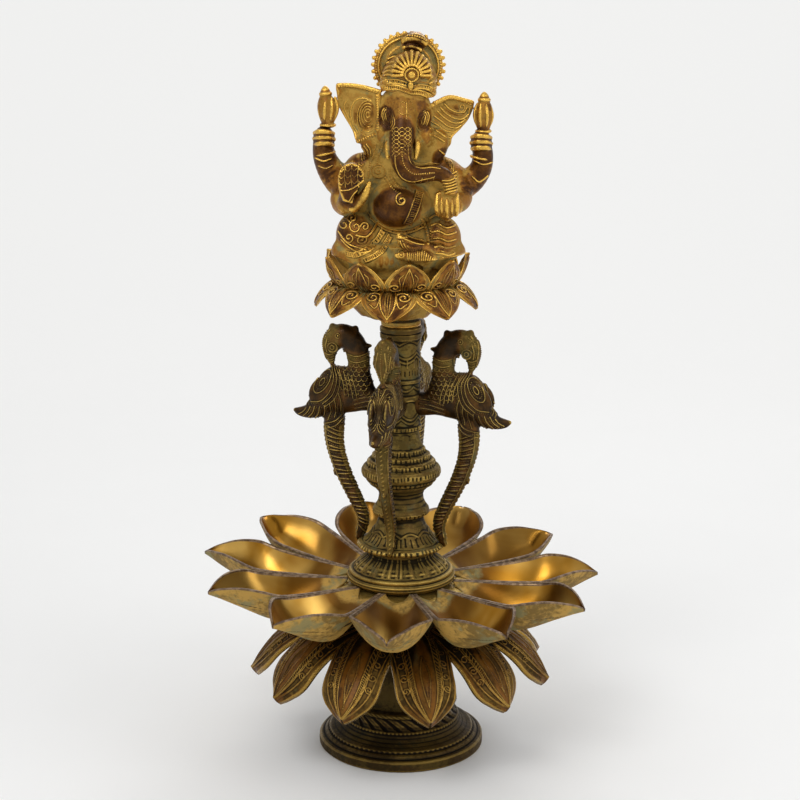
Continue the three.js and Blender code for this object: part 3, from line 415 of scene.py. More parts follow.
def surfaceOf(field, low, step):
    # surface nets: one point for each cell that the surface crosses, one face for each crossed edge
    field = np.pad(field, 1, constant_values=farAway)
    inside = field < 0
    shape = np.array(field.shape) - 1
    corners = [(i, j, k) for i in (0, 1) for j in (0, 1) for k in (0, 1)]

    def corner(array, offset):
        i, j, k = offset
        return array[i:i + shape[0], j:j + shape[1], k:k + shape[2]]

    count = sum(corner(inside, c).astype(np.int8) for c in corners)
    cells = np.argwhere((count > 0) & (count < 8))
    index = np.full(tuple(shape), -1, np.int64)
    index[tuple(cells.T)] = np.arange(len(cells))
    sums = np.zeros((len(cells), 3))
    weight = np.zeros(len(cells))
    for a in corners:
        for axis in range(3):
            if a[axis]:
                continue
            b = list(a)
            b[axis] = 1
            fa = field[tuple((cells + a).T)]
            fb = field[tuple((cells + b).T)]
            cut = (fa < 0) != (fb < 0)
            t = np.where(cut, fa / np.where(fa == fb, 1, fa - fb), 0)
            p = np.tile(np.array(a, float), (len(cells), 1))
            p[:, axis] = t
            sums += p * cut[:, None]
            weight += cut
    points = (cells + sums / weight[:, None] - 1) * step + low
    faces = []
    for axis in range(3):
        u, v = [k for k in range(3) if k != axis]
        first = [slice(1, n) for n in shape]
        first[axis] = slice(0, shape[axis])
        second = list(first)
        second[axis] = slice(1, shape[axis] + 1)
        a, b = inside[tuple(first)], inside[tuple(second)]
        at = np.argwhere(a != b)
        flip = a[tuple(at.T)]
        at = at + [0 if k == axis else 1 for k in range(3)]
        around = []
        for du, dv in ((0, 0), (1, 0), (1, 1), (0, 1)):
            c = at.copy()
            c[:, u] -= du
            c[:, v] -= dv
            around.append(index[tuple(c.T)])
        quad = np.stack(around, 1)
        turn = flip if axis != 1 else ~flip
        quad[~turn] = quad[~turn][:, ::-1]
        faces.append(quad)
    return points, np.concatenate(faces)


def refine(points, faces):
    # each four-sided face becomes four
    count = len(points)
    edges = edgesOf(faces)
    key = edges[:, 0] * count + edges[:, 1]
    middles = (points[edges[:, 0]] + points[edges[:, 1]]) / 2
    centres = points[faces].mean(1)
    edgeIndex = []
    for k in range(4):
        pair = np.sort(faces[:, [k, (k + 1) % 4]], axis=1)
        edgeIndex.append(np.searchsorted(key, pair[:, 0] * count + pair[:, 1]) + count)
    centreIndex = np.arange(len(faces)) + count + len(edges)
    made = [np.stack([faces[:, k], edgeIndex[k], centreIndex, edgeIndex[k - 1]], 1) for k in range(4)]
    return np.concatenate([points, middles, centres]), np.concatenate(made)


def ease(points, faces, rounds, strength=0.5):
    # smooths, then swells back by slightly more, so that the form doesn't shrink
    edges = edgesOf(faces)
    for i in range(2 * rounds):
        share = strength if i % 2 == 0 else -strength * 1.02
        mean = np.stack([spread(points[:, k], edges, len(points), 1) for k in range(3)], 1)
        points = points + share * (mean - points)
    return points


# Shader sockets as values

class Value:
    def __init__(self, paint, socket):
        self.paint = paint
        self.socket = socket

    def sum(self, other, operation, swap=False):
        values = [other, self] if swap else [self, other]
        return self.paint.add("ShaderNodeMath", {"operation": operation},
                              {i: v for i, v in enumerate(values)})

    def __add__(self, other):
        return self.sum(other, "ADD")

    def __sub__(self, other):
        return self.sum(other, "SUBTRACT")

    def __rsub__(self, other):
        return self.sum(other, "SUBTRACT", True)

    def __mul__(self, other):
        return self.sum(other, "MULTIPLY")

    __radd__ = __add__
    __rmul__ = __mul__


class Paint:
    def __init__(self, name):
        self.material = bpy.data.materials.new(name)
        self.material.use_nodes = True
        self.tree = self.material.node_tree
        self.shader = self.tree.nodes["Principled BSDF"]

    def add(self, kind, settings=None, inputs=None, output=0):
        node = self.tree.nodes.new(kind)
        for key, value in (settings or {}).items():
            if key == "stops":
                while len(node.color_ramp.elements) < len(value):
                    node.color_ramp.elements.new(0.5)
                for element, (place, colour) in zip(node.color_ramp.elements, value):
                    element.position = place
                    element.color = (*colour, 1) if len(colour) == 3 else colour
            else:
                setattr(node, key, value)
        for key, value in (inputs or {}).items():
            self.link(node.inputs[key], value)
        return Value(self, node.outputs[output])

    def link(self, socket, value):
        if isinstance(value, Value):
            self.tree.links.new(value.socket, socket)
        elif isinstance(value, tuple) and len(value) == 3 and socket.type == "RGBA":
            socket.default_value = (*value, 1)
        else:
            socket.default_value = value

    def attribute(self, name):
        return self.add("ShaderNodeAttribute", {"attribute_name": name}, output=2)

    def noise(self, scale, detail=4.0, roughness=0.6, distortion=0.0):
        where = self.add("ShaderNodeTexCoord", output=3)
        return self.add("ShaderNodeTexNoise", {}, {"Vector": where, "Scale": scale, "Detail": detail,
                                                  "Roughness": roughness, "Distortion": distortion})

    def range(self, value, low, high, toLow=0.0, toHigh=1.0, smooth=True):
        kind = "SMOOTHSTEP" if smooth else "LINEAR"
        return self.add("ShaderNodeMapRange", {"interpolation_type": kind},
                        {0: value, 1: low, 2: high, 3: toLow, 4: toHigh})

    def mix(self, share, first, second):
        return self.add("ShaderNodeMix", {"data_type": "RGBA"}, {"Factor": share, 6: first, 7: second},
                        output=2)

    def set(self, **inputs):
        for key, value in inputs.items():
            self.link(self.shader.inputs[key.replace("_", " ")], value)

    def bump(self, height, strength, distance):
        return self.add("ShaderNodeBump", {}, {"Height": height, "Strength": strength,
            "Distance": distance})


# Finishes

finishes = {
    "olivePatina": dict(dust=(0.235, 0.160, 0.038), shade=(0.110, 0.074, 0.018),
                        deep=(0.008, 0.005, 0.002), green=(0.118, 0.116, 0.050),
                        rubbed=(0.42, 0.28, 0.065), orange=(0.135, 0.058, 0.009),
                        polished=(0.026, 0.014, 0.004), gloom=0.22, dusty=0.25, glaze=0.35),
    "goldPatina": dict(dust=(0.52, 0.320, 0.068), shade=(0.30, 0.160, 0.025),
                       deep=(0.016, 0.007, 0.002), green=(0.225, 0.215, 0.095),
                       rubbed=(0.80, 0.47, 0.080), orange=(0.33, 0.130, 0.012),
                       polished=(0.062, 0.020, 0.002), gloom=0.16, dusty=0.7, glaze=0.95),
    "leafPatina": dict(dust=(0.135, 0.082, 0.018), shade=(0.052, 0.028, 0.006),
                       deep=(0.006, 0.003, 0.001), green=(0.066, 0.066, 0.029),
                       rubbed=(0.36, 0.215, 0.042), orange=(0.20, 0.078, 0.007),
                       polished=(0.046, 0.018, 0.002), gloom=0.85, dusty=0.0, glaze=0.6),
    "darkBronze": dict(dust=(0.078, 0.050, 0.011), shade=(0.033, 0.020, 0.005),
                       deep=(0.004, 0.002, 0.001), green=(0.024, 0.023, 0.010),
                       rubbed=(0.19, 0.120, 0.026), orange=(0.08, 0.036, 0.006),
                       polished=(0.050, 0.028, 0.006), gloom=0.7, dusty=0.0, glaze=0.3),
}


def patina(name, dust, shade, deep, green, rubbed, orange, polished, gloom, dusty, glaze):
    # sheltered places are pale with dust as far as dusty says and darkened with painted shade as far as gloom
    # says
    # glaze is how much brown is left on
    paint = Paint(name)
    wear, polish, shelter = [paint.attribute(name) for name in ("wear", "polish", "shelter")]
    broad = paint.noise(48, 3, 0.55)
    fine = paint.noise(420, 5, 0.7)
    speck = paint.noise(1500, 3, 0.8)
    tone = paint.range(broad + (fine - 0.5) * 0.8 + shelter * dusty * 0.30, 0.40, 0.62)
    colour = paint.mix(tone, shade, dust)
    mossy = paint.range(paint.noise(70, 4, 0.65, 0.6) + shelter * dusty * 0.12, 0.55, 0.68) * 0.75
    colour = paint.mix(mossy, colour, green)
    left = paint.noise(34, 3, 0.6, 0.7) + wear * 0.5 - shelter * dusty * 0.22 + (fine - 0.5) * 0.3
    left = paint.range(left, 0.46, 0.66) * glaze
    bare = polish - shelter * dusty * 0.25 + (fine - 0.5) * 0.4 + (broad - 0.5) * 0.7
    bare = paint.range(bare, 0.08, 0.42)
    bare = paint.add("ShaderNodeMath", {"operation": "MAXIMUM"}, {0: bare, 1: left})
    colour = paint.mix(bare, colour, orange)
    worn = paint.range(paint.noise(150, 4, 0.65, 0.4), 0.42, 0.66)
    handled = paint.range(polish + left * 0.34 + (fine - 0.5) * 0.5 + (broad - 0.5) * 0.8, 0.30, 0.78)
    colour = paint.mix(handled * (1 - worn * 0.3), colour, polished)
    # painted shade: sheltered places and creases are darkened towards the deep colour
    hollowShade = paint.range(shelter * gloom * 1.4 - wear * 1.5 + (fine - 0.5) * 0.5, 0.10, 0.56)
    colour = paint.mix(hollowShade * 0.93, colour, deep)
    ridge = wear - shelter * 0.15 - polish * 0.14 + (fine - 0.5) * 0.6 + (broad - 0.5) * 0.8
    ridge = paint.range(ridge, 0.27, 0.76)
    colour = paint.mix(ridge, colour, rubbed)
    colour = paint.mix(paint.range(speck + (fine - 0.5) * 0.4, 0.62, 0.76) * 0.55, colour, deep)
    shiny = ridge * 0.6 + bare * 0.7
    paint.set(Base_Color=colour,
              Metallic=paint.range(shiny, 0, 1, 0.30, 0.92, smooth=False),
              Roughness=paint.range(shiny + (fine - 0.5) * 0.3, 0, 1, 0.64, 0.27, smooth=False),
              Coat_Weight=bare * 0.22, Coat_Roughness=0.34, Specular_IOR_Level=0.10,
              Normal=paint.bump(fine * 0.6 + worn * 0.3 + speck * 0.3, 0.6, 0.0008))
    return paint.material


# the inside's amber, light gold and dark colours are painted reflections and painted shade; the underside's
# deepest colour is painted shade
troughFinish = dict(
    amber=(0.40, 0.185, 0.018), gold=(0.70, 0.43, 0.105), darkReflectionAndShade=(0.120, 0.045, 0.004),
                    pit=(0.10, 0.045, 0.010),
    underShade=(0.21, 0.130, 0.034), underDust=(0.50, 0.305, 0.072), underGreen=(0.23, 0.22, 0.105),
    underDeep=(0.030, 0.017, 0.005), underSpeck=(0.05, 0.030, 0.010), lipDark=(0.115, 0.075, 0.052),
    lipPale=(0.29, 0.20, 0.125))
brassFinish = dict(dark=(0.36, 0.24, 0.08), pale=(0.52, 0.37, 0.14))


def satinGold():
    # polished troughs: warm gold with painted reflections, painted dark reflections and painted shade in the
    # depth and at the root, mauve-grey rims, dusty olive below with painted shade in its hollows
    f = troughFinish
    paint = Paint("satinGold")
    wear, inside, shelter, rim = [paint.attribute(name) for name in ("wear", "polish", "shelter", "rim")]
    broad = paint.noise(17, 3, 0.5, 0.5)
    fine = paint.noise(300, 4, 0.6)
    speck = paint.noise(1100, 3, 0.8)
    place = paint.add("ShaderNodeTexCoord", output=3)
    drawn = paint.add("ShaderNodeMapping", {}, {"Vector": place, "Scale": (1.0, 1.0, 6.0)})
    scratch = paint.add("ShaderNodeTexNoise", {}, {"Vector": drawn, "Scale": 90.0, "Detail": 2.0})
    # painted reflections: the inside runs from amber to light gold with a broad noise
    gold = paint.mix(paint.range(broad, 0.38, 0.60), f["amber"], f["gold"])
    # painted dark reflections towards the root and painted shade where other surfaces stand close
    darkReflectionAndShade = paint.range(paint.noise(11, 2, 0.4, 0.9) + shelter * 0.34 + (1 - inside) * 0.95, 0.44, 0.74)
    gold = paint.mix(darkReflectionAndShade * 0.92, gold, f["darkReflectionAndShade"])
    gold = paint.mix(paint.range(speck, 0.72, 0.80) * 0.4, gold, f["pit"])
    under = paint.mix(paint.range(broad + (fine - 0.5) * 0.7, 0.36, 0.60), f["underShade"], f["underDust"])
    under = paint.mix(paint.range(paint.noise(60, 4, 0.65), 0.50, 0.62) * 0.75, under, f["underGreen"])
    # painted shade in the underside's hollows and sheltered places
    deep = paint.range(shelter * 0.55 - wear * 1.2 + (fine - 0.5) * 0.4, 0.16, 0.62)
    under = paint.mix(deep, under, f["underDeep"])
    under = paint.mix(paint.range(speck, 0.62, 0.74) * 0.5, under, f["underSpeck"])
    bowl = paint.range(inside * 1.3 + (fine - 0.5) * 0.5 + (broad - 0.5) * 0.6, 0.25, 0.6)
    colour = paint.mix(bowl, under, gold)
    lip = paint.range(rim + (fine - 0.5) * 0.5, 0.35, 0.75)
    rimShare = lip * 0.92
    rimColour = paint.mix(paint.range(fine, 0.4, 0.62), f["lipDark"], f["lipPale"])
    colour = paint.mix(rimShare, colour, rimColour)
    metal = paint.range(inside * 1.3 - lip * 0.5, 0, 1, 0.25, 0.96, smooth=False)
    dull = inside * 1.2 + (scratch - 0.5) * 0.12 - lip * 0.3
    paint.set(Base_Color=colour, Metallic=metal,
              Roughness=paint.range(dull, 0, 1, 0.62, 0.28, smooth=False),
              Specular_IOR_Level=0.15,
              Normal=paint.bump(fine * (1.2 - inside), 0.20, 0.0005))
    return paint.material


def plainBrass():
    paint = Paint("plainBrass")
    tone = paint.noise(260, 4)
    paint.set(Base_Color=paint.mix(paint.range(tone, 0.4, 0.65), brassFinish["dark"], brassFinish["pale"]),
              Metallic=0.95, Roughness=paint.range(tone, 0.3, 0.7, 0.3, 0.5),
              Normal=paint.bump(tone, 0.1, 0.0003))
    return paint.material


skin = {name: patina(name, **colours) for name, colours in finishes.items()}
skin["satinGold"] = satinGold()
skin["plainBrass"] = plainBrass()
print("finishes mixed")


# Turned pieces: foot, bell, column

turningStep = 0.45  # along the outline


def polarPoint(angle, radius, z):
    a = np.radians(angle)
    return np.stack([radius * np.sin(a), -radius * np.cos(a), z + 0 * a], -1)


def turnedPiece(name, profile, relief, body, material, replaces, sides=420):
    # profile is a list of (radius, z) corners, closed on itself
    # relief(angle, r, z, outward) is what stands out from it
    profile = np.array(profile + profile[:1], float)
    lengths = np.sqrt((np.diff(profile, axis=0) ** 2).sum(1))
    stations = [profile[:1]]
    for a, b, length in zip(profile[:-1], profile[1:], lengths):
        steps = max(2, int(length / (turningStep * coarse)) + 1)
        stations.append(a + (b - a) * (np.arange(1, steps + 1) / steps)[:, None])
    line = np.concatenate(stations)[:-1]
    tangent = np.roll(line, -1, 0) - np.roll(line, 1, 0)
    tangent /= np.linalg.norm(tangent, axis=1, keepdims=True) + 1e-9
    normal = np.stack([tangent[:, 1], -tangent[:, 0]], 1)
    n = int(sides / coarse)
    angle = np.arange(n) * 360.0 / n
    r = line[:, 0][:, None] + 0 * angle
    z = line[:, 1][:, None] + 0 * angle
    rise = relief(angle[None, :] + 0 * r, r, z, normal[:, :1] + 0 * r)
    r = np.maximum(r + rise * normal[:, :1], 0.2)
    z = z + rise * normal[:, 1:]
    points = polarPoint(angle[None, :] + 0 * r, r, z).reshape(-1, 3)
    faces = gridFaces(len(line), n, closed=True)[:, ::-1]
    return makeMesh(name, points, faces, body, material, replaces)


def teeth(angle, count, sharp=1.0):
    return (0.5 + 0.5 * np.cos(np.radians(angle) * count)) ** sharp


def between(z, low, high, endLow, endHigh):
    # 1 inside a band that fades in from low to high and out from endLow to endHigh
    return smoothStep(low, high, z) * (1 - smoothStep(endLow, endHigh, z))


foot = {"flutes": 26, "fluteDepth": 0.9, "rope": 64, "beads": 84, "ringTeeth": 90, "ringHeight": 19.2}


def footRelief(angle, r, z, outward):
    f = foot
    outer = outward > 0.2
    lean = angle + (z - 20) * 2.2
    wobble = 0.12 * np.sin(np.radians(angle) * 3 + 1) + 0.08 * np.sin(np.radians(angle) * 7)
    flutes = -f["fluteDepth"] * between(z, 19.5, 22.5, 27.4, 28.6) * teeth(lean, f["flutes"], 3)
    rope = 0.45 * between(z, 28.7, 29.3, 30.6, 31.1) * (teeth(angle + z * 3, f["rope"]) - 0.4)
    band = 0.5 * between(z, 9.7, 10, 10.9, 11.3) * (teeth(angle, f["beads"], 0.7) - 0.6) * (r > 44)
    ringLine = 0.5 * np.exp(-((z - f["ringHeight"]) / 0.7) ** 2) * teeth(angle, f["ringTeeth"], 0.6)
    return np.where(outer & (r > 30), wobble * 0.6 + flutes + rope + band + ringLine, 0)


footProfile = [(49.6, 0.05), (52.4, 0.05), (53.2, 0.9), (53.3, 3.4), (53.1, 6.0), (52.4, 6.9),
               (51.2, 7.25), (49.9, 7.3), (49.6, 8.1), (49.0, 9.0), (48.2, 9.6), (46.9, 9.9), (46.6, 11.2),
               (45.6, 11.7), (43.0, 12.4), (40.2, 14.0), (38.2, 16.2), (37.2, 18.4), (37.2, 19.8),
               (36.2, 20.8), (35.4, 22.2), (35.1, 25.0), (35.2, 28.4), (36.1, 28.9), (36.4, 29.9),
               (36.1, 30.8), (35.0, 31.25), (5.0, 31.2), (5.0, 26.4), (31.6, 26.4), (31.6, 22.0),
               (40.6, 10.0), (48.6, 2.0)]
turnedPiece("footDressed", footProfile, footRelief, "lamp", skin["darkBronze"], ["foot"])

bellProfile = [(25.6, 109.4), (28.8, 109.4), (29.0, 111.3), (32.6, 111.4), (34.0, 112.6), (34.4, 114.2),
               (34.1, 115.6), (33.0, 116.4), (32.6, 116.7), (33.2, 117.3), (33.2, 118.4), (32.4, 119.2),
               (30.6, 119.5), (30.2, 120.3), (28.8, 122.2), (26.2, 124.6), (23.4, 126.6), (21.4, 128.2),
               (20.9, 129.6), (20.9, 131.9), (5.0, 131.9), (5.0, 128.4), (17.4, 128.4), (24.4, 119.0)]


bell = {"flutes": 20, "fluteHeights": (0.42, 0.34), "rollHeight": 0.25}


def bellRelief(angle, r, z, outward):
    b = bell
    outer = (r > 20) & (z > 111) & (outward > -0.1)
    high, low = b["fluteHeights"]
    wavy = angle + 3.0 * np.sin(np.radians(angle) * 5)
    lines = high * teeth(wavy, b["flutes"], 7) + low * teeth(angle + 5.4, b["flutes"], 9) - 0.22
    lines = between(z, 120.0, 120.8, 129.4, 130.6) * lines
    top = 0.4 * between(z, 121.6, 121.9, 122.7, 123.0) * teeth(angle + 9, b["flutes"], 2)
    wobble = 0.16 * np.sin(np.radians(angle) * 4 + 2)
    roll = b["rollHeight"] * between(z, 111.6, 112.4, 115.6, 116.4) * np.sin(z * 3.4)
    return np.where(outer, lines + top + wobble + roll, 0)


turnedPiece("bellDressed", bellProfile, bellRelief, "lamp", skin["olivePatina"], ["bell"])

columnProfile = [(0.2, 132.3), (20.6, 132.3), (25.6, 132.9), (27.9, 134.2), (28.1, 135.4), (27.2, 136.6),
                 (24.4, 137.6), (21.9, 139.6), (19.6, 142.4), (17.3, 145.6), (15.4, 149.2), (14.1, 152.6),
                 (14.2, 154.6), (17.6, 155.6), (18.2, 157.2), (17.6, 159.2), (15.8, 161.6), (14.5, 164.6),
                 (14.0, 167.9), (14.7, 170.4), (17.0, 173.0), (20.2, 175.2), (20.6, 176.6), (22.3, 177.6),
                 (22.6, 179.2), (24.6, 180.8), (25.3, 182.8), (25.2, 184.6), (24.0, 186.6), (22.4, 187.7),
                 (22.0, 188.0), (21.8, 190.0), (20.4, 191.4), (19.2, 191.8), (18.7, 192.4), (18.5, 194.4),
                 (17.0, 195.4), (16.0, 195.9), (15.6, 196.6), (15.2, 198.6), (14.0, 199.6), (13.0, 202.0),
                 (11.8, 205.6), (11.2, 208.8), (11.3, 210.6), (13.0, 211.2), (13.1, 213.0), (12.0, 213.8),
                 (12.1, 230.4), (12.9, 231.0), (12.9, 233.2), (12.1, 233.9), (12.0, 241.4), (12.7, 242.0),
                 (12.6, 243.4), (12.0, 244.0), (12.0, 268.8), (13.0, 269.6), (13.1, 272.4), (12.4, 273.0),
                 (13.0, 273.7), (13.1, 276.0), (12.3, 276.95), (0.2, 276.95)]


def notches(angle, z, low, high, depth, count, turn=0.0):
    # hand-cut strokes round a band, not quite even
    a = np.radians(angle)
    jitter = turn + 1.6 * np.sin(a * 7 + low) + 0.9 * np.sin(a * 17 + 2 * low)
    edge = 0.4 * np.sin(a * 11 + low)
    band = smoothStep(low + edge, low + 0.5 + edge, z) * (1 - smoothStep(high - 0.5 + edge, high + edge, z))
    return -depth * band * teeth(angle + jitter, count, 2.6) * (0.75 + 0.25 * np.sin(a * 5 + low))


def swags(angle, z, level, drop, count, turn):
    line = level - drop * np.abs(np.sin(np.radians(angle + turn) * count / 2))
    return 0.5 * np.exp(-((z - line) / 0.45) ** 2)


column = {
    # from, to, depth and count of each band of strokes
    "bands": [(133.4, 136.9, 1.1, 52), (138.4, 143.5, 0.55, 38), (155.2, 157.4, 0.8, 36),
              (176.8, 179.4, 0.7, 46),
              (182.0, 185.2, 0.8, 60), (187.4, 190.6, 0.8, 44), (191.6, 194.9, 0.8, 42),
              (195.4, 198.8, 0.7, 36),
              (210.8, 213.4, 0.7, 34), (246.4, 250.2, 0.6, 30)],
    # level, drop, count and turn of each wavy thread
    "swags": [(219.5, 3.5, 6, 0), (222.0, 3.5, 6, 0), (228.0, -3.2, 5, 8), (239.6, 2.6, 7, 12),
              (258.6, 3.6, 5, 20), (261.2, 3.6, 5, 20), (266.4, -2.4, 6, 4), (143.4, -2.2, 10, 0)],
    "petals": 16,
}


def columnRelief(angle, r, z, outward):
    rise = 0.16 * np.sin(np.radians(angle) * 3 + z * 0.05) + 0.07 * np.sin(np.radians(angle) * 9 + z * 0.7)
    for low, high, depth, count in column["bands"]:
        rise = rise + notches(angle, z, low, high, depth, count)
    rise = rise + notches(angle, z, 140, 152.5, 0.25, 9, 5) + notches(angle, z, 200, 209, 0.25, 11, 3)
    for level, drop, count, turn in column["swags"]:
        rise = rise + swags(angle, z, level, drop, count, turn)
    rise = rise + 0.4 * between(z, 251.2, 251.8, 256.6, 257.4) * teeth(angle + 4, column["petals"], 6)
    return np.where((r > 9) & (outward > -0.3), rise, 0)


turnedPiece("columnDressed", columnProfile, columnRelief, "lamp", skin["olivePatina"],
            ["column"], sides=360)
print("turned pieces made")


# Troughs

troughs = {
    "angles": [-3.75, 29, 61.7, 94.4, 126.2, 160, 192.5, 228.5, 258.1, 290.8, 323.5],
    "lifts": [0, 0, 0, 0, 3.4, 6.6, 7, 6.8, 1.8, 0, 0], "stretches": [0, 0, 0, 0, 0, 0, 0, 0, 3.6, 0, 0],
    "valley": 34, "point": 44, "reach": 128, "halfWidth": 26.4, "hubTop": 109.05, "hubUnder": 105.05,
    "setBack": 1, "lean": 0.033, "gap": 0.12, "rimWall": 2.1, "parting": 4,
}
troughCount = len(troughs["angles"])


def ridgeAngles(i):
    angles = troughs["angles"]
    before = angles[i - 1] - (360 if i == 0 else 0)
    after = angles[(i + 1) % troughCount] + (360 if i == troughCount - 1 else 0)
    return (before + angles[i]) / 2, (angles[i] + after) / 2


def easedLeast(a, b, soft):
    share = np.clip(0.5 + 0.5 * (b - a) / soft, 0, 1)
    return b + (a - b) * share - soft * share * (1 - share)


def troughGrid(i, u, v, inside):
    d = troughs
    top = d["hubTop"]
    angle = d["angles"][i]
    before, after = ridgeAngles(i)
    s = 2 * v - 1
    half = np.radians(np.where(s < 0, angle - before, after - angle))
    # heights along the trough, from the root to the tip: its underside's keel, its wall and its rim
    keel = curveThrough((0, d["hubUnder"]), (0.2, top - 11.6), (0.38, top - 17.3), (0.54, top - 14.9),
                        (0.78, top - 4.9), (0.91, top + 0.5), (1, top + 3.8))
    floor = curveThrough((0, 4), (0.3, 2.6), (1, 1.4))
    rim = curveThrough((-0.12, top + 2.6), (0.5, top + 6.7), (0.66, top + 10.2), (0.8, top + 11.1),
                       (0.92, top + 8.8), (1, top + 5.3))
    w = d["halfWidth"]
    free = curveThrough((-0.12, w * 0.62), (0.2, w * 0.9), (0.5, w), (0.64, w * 0.93), (0.77, w * 0.70),
                        (0.89, w * 0.40), (1, 0.5))
    rootX = d["point"] + 0.3
    valleyX = (d["valley"] + 0.3) * np.cos(half)
    startX = rootX + (valleyX - rootX) * np.abs(s)
    reach = d["reach"] + d["stretches"][i]
    endX = reach - (2.4 * (1 - s * s) if inside else 0)
    x = startX + (endX - startX) * u**0.92
    share = (x - d["point"]) / (reach - d["point"])
    outer = easedLeast(x * np.tan(half) - d["gap"] / np.cos(half), free(share), d["parting"])
    width = outer - np.minimum(d["rimWall"], outer * 0.6) if inside else outer
    low = keel(np.maximum(share, 0)) + (floor(np.maximum(share, 0)) if inside else 0)
    if inside and d["lifts"][i] > 3:
        low = low + (rim(share) - 0.3 - low) * smoothStep(0.82, 0.985, share)
    wall = np.abs(s) ** (2.5 if inside else 2.2)
    z = low * (1 - wall) + rim(share) * wall
    lip = smoothStep(0.86, 1.0, np.abs(s))
    z = z + (0.35 * lip if inside else 0.1 * lip) + 0.34 * d["lifts"][i] * smoothStep(0.86, 0.99, share)
    a, b = math.radians(angle), math.radians(angle + 90)
    px = x * math.sin(a) + width * s * math.sin(b)
    py = -x * math.cos(a) - width * s * math.cos(b)
    r = np.hypot(px, py)
    z = z + np.where(r > d["valley"], -d["lean"] * px * (r - d["valley"]) / r, 0)
    z = z + d["lifts"][i] * np.maximum(share, 0) ** 1.4
    return np.stack([px, py + d["setBack"], z], -1), x, width * s


def troughRelief(x, y, seed):
    # engraved swirls under the free end of a trough
    points = np.stack([x.ravel(), y.ravel()], 1)
    turn = 1 if seed % 2 else -1
    lines = [(flowing([(70, -16), (84, -19), (98, -15), (110, -8), (121, 0), (110, 8), (98, 15), (84, 19),
                       (70, 16)], 60), 1.1, -0.55)]
    for side in (-1, 1):
        lines.append((spiral(88, side * 9, 6.2, 1.3, 90 * side * turn, side * turn), 1.0, -0.5))
        lines.append((spiral(102, side * 5.4, 4.0, 1.1, -60 * side, -side), 0.9, -0.5))
        lines.append((flowing([(78, side * 5), (86, side * 2), (96, side * 1.2), (108, side * 1.5),
                               (116, 0)], 20), 0.8, -0.4))
        lines.append((spiral(76, side * 11, 4.6, 1.1, 180, -side), 0.9, -0.45))
    return threads(points, lines).reshape(x.shape)


def makeTrough(i):
    u, v = sheetGrid(110, 72)
    v = 0.5 + 0.5 * np.sin((v - 0.5) * math.pi) * 0.35 + (v - 0.5) * 0.65
    upper, x, y = troughGrid(i, u, v, True)
    lower, x, y = troughGrid(i, u, v, False)
    lower[..., 2] -= troughRelief(x, y, i) * (1 - smoothStep(0.9, 1.0, np.abs(2 * v - 1)))
    points, faces = shellMesh(upper, lower)
    # the polished gold starts past the brazed line; its slow rise after that line sets the painted dark
    # reflection towards the root
    brazed = 49 + 2.5 * np.sin(y * 0.21 + i * 1.7)
    gold = smoothStep(brazed - 7, brazed + 9, x) * (0.66 + 0.34 * smoothStep(brazed + 2, brazed + 34, x))
    piece = makeMesh(f"trough{i + 1:02d}", points, faces, "lamp", skin["satinGold"],
                     [f"petal_{i + 1:02d}"], np.r_[gold.ravel(), np.zeros(gold.size)])
    edge = np.maximum(np.abs(2 * v - 1), smoothStep(0.9, 1.0, u))
    rim = np.r_[smoothStep(0.955, 0.985, edge).ravel(), smoothStep(0.965, 0.99, edge).ravel()]
    setValues(piece.data, "rim", rim)


for i in range(troughCount):
    makeTrough(i)
print("troughs made")


# Hub: share of the way out to the troughs' roots, and height above its top
hubSteps = [(0.12, 0), (0.3, 0), (0.55, 0.05), (0.7, 0.1), (0.8, 0.12), (0.9, 0.1), (0.96, 0.0),
            (1.0, -0.4), (1.0, -3.6), (0.9, -4), (0.12, -4)]


def makeHub():
    d = troughs
    count = int(440 / coarse)
    corners = []
    for i in range(troughCount):
        for angle, radius in ((ridgeAngles(i)[0], d["valley"]), (d["angles"][i], d["point"])):
            corners.append(polarPoint(np.array(angle), radius, 0)[:2])
    corners = np.array(corners + corners[:1])
    lengths = np.r_[0, np.cumsum(np.linalg.norm(np.diff(corners, axis=0), axis=1))]
    t = np.linspace(0, lengths[-1], count, endpoint=False)
    edge = np.stack([np.interp(t, lengths, corners[:, k]) for k in range(2)], 1)
    rows = [np.column_stack([edge * share, np.full(count, d["hubTop"] + z)]) for share, z in hubSteps]
    grid = np.stack(rows)
    grid[..., 1] += d["setBack"]
    faces = gridFaces(len(hubSteps), count, closed=True)
    makeMesh("starHub", grid.reshape(-1, 3), faces, "lamp", skin["olivePatina"],
             ["dish_hub"])


makeHub()


# Leaves

leaves = {"count": 11, "first": -22, "root": 36.3, "reach": 97, "rootTop": 90.3, "drop": 38,
          "halfWidth": 18.6, "crown": 5.0, "thickness": 2.4, "drawnLength": 82}


def leafGrid(angle, u, v):
    d = leaves
    share = np.sin(u * math.pi / 2) ** 0.9
    s = 2 * v - 1
    top = d["rootTop"]
    height = curveThrough((0, top), (0.39, top - d["drop"] * 0.105), (0.72, top - d["drop"] * 0.42),
                          (0.918, top - d["drop"] * 0.79), (1, top - d["drop"]))
    w = d["halfWidth"]
    free = curveThrough((0, w * 0.7), (0.4, w * 0.98), (0.65, w), (0.82, w * 0.98), (0.9, w * 0.78),
                        (0.96, w * 0.42), (1, 0.8))
    radius = d["root"] + (d["reach"] - d["root"]) * share
    half = math.radians(180 / d["count"])
    shared = (radius - (d["crown"] * 0.5 + d["thickness"] * 0.8) * share) * math.tan(half) - 0.15
    width = np.minimum(free(share), shared)
    sag = d["crown"] * s * s
    x = radius - sag * 0.5 * share
    z = height(share) - sag * 0.8
    a, b = math.radians(angle), math.radians(angle + 90)
    across = width * s
    p = np.stack([x * math.sin(a) + across * math.sin(b), -x * math.cos(a) - across * math.cos(b), z], -1)
    return p, share, across


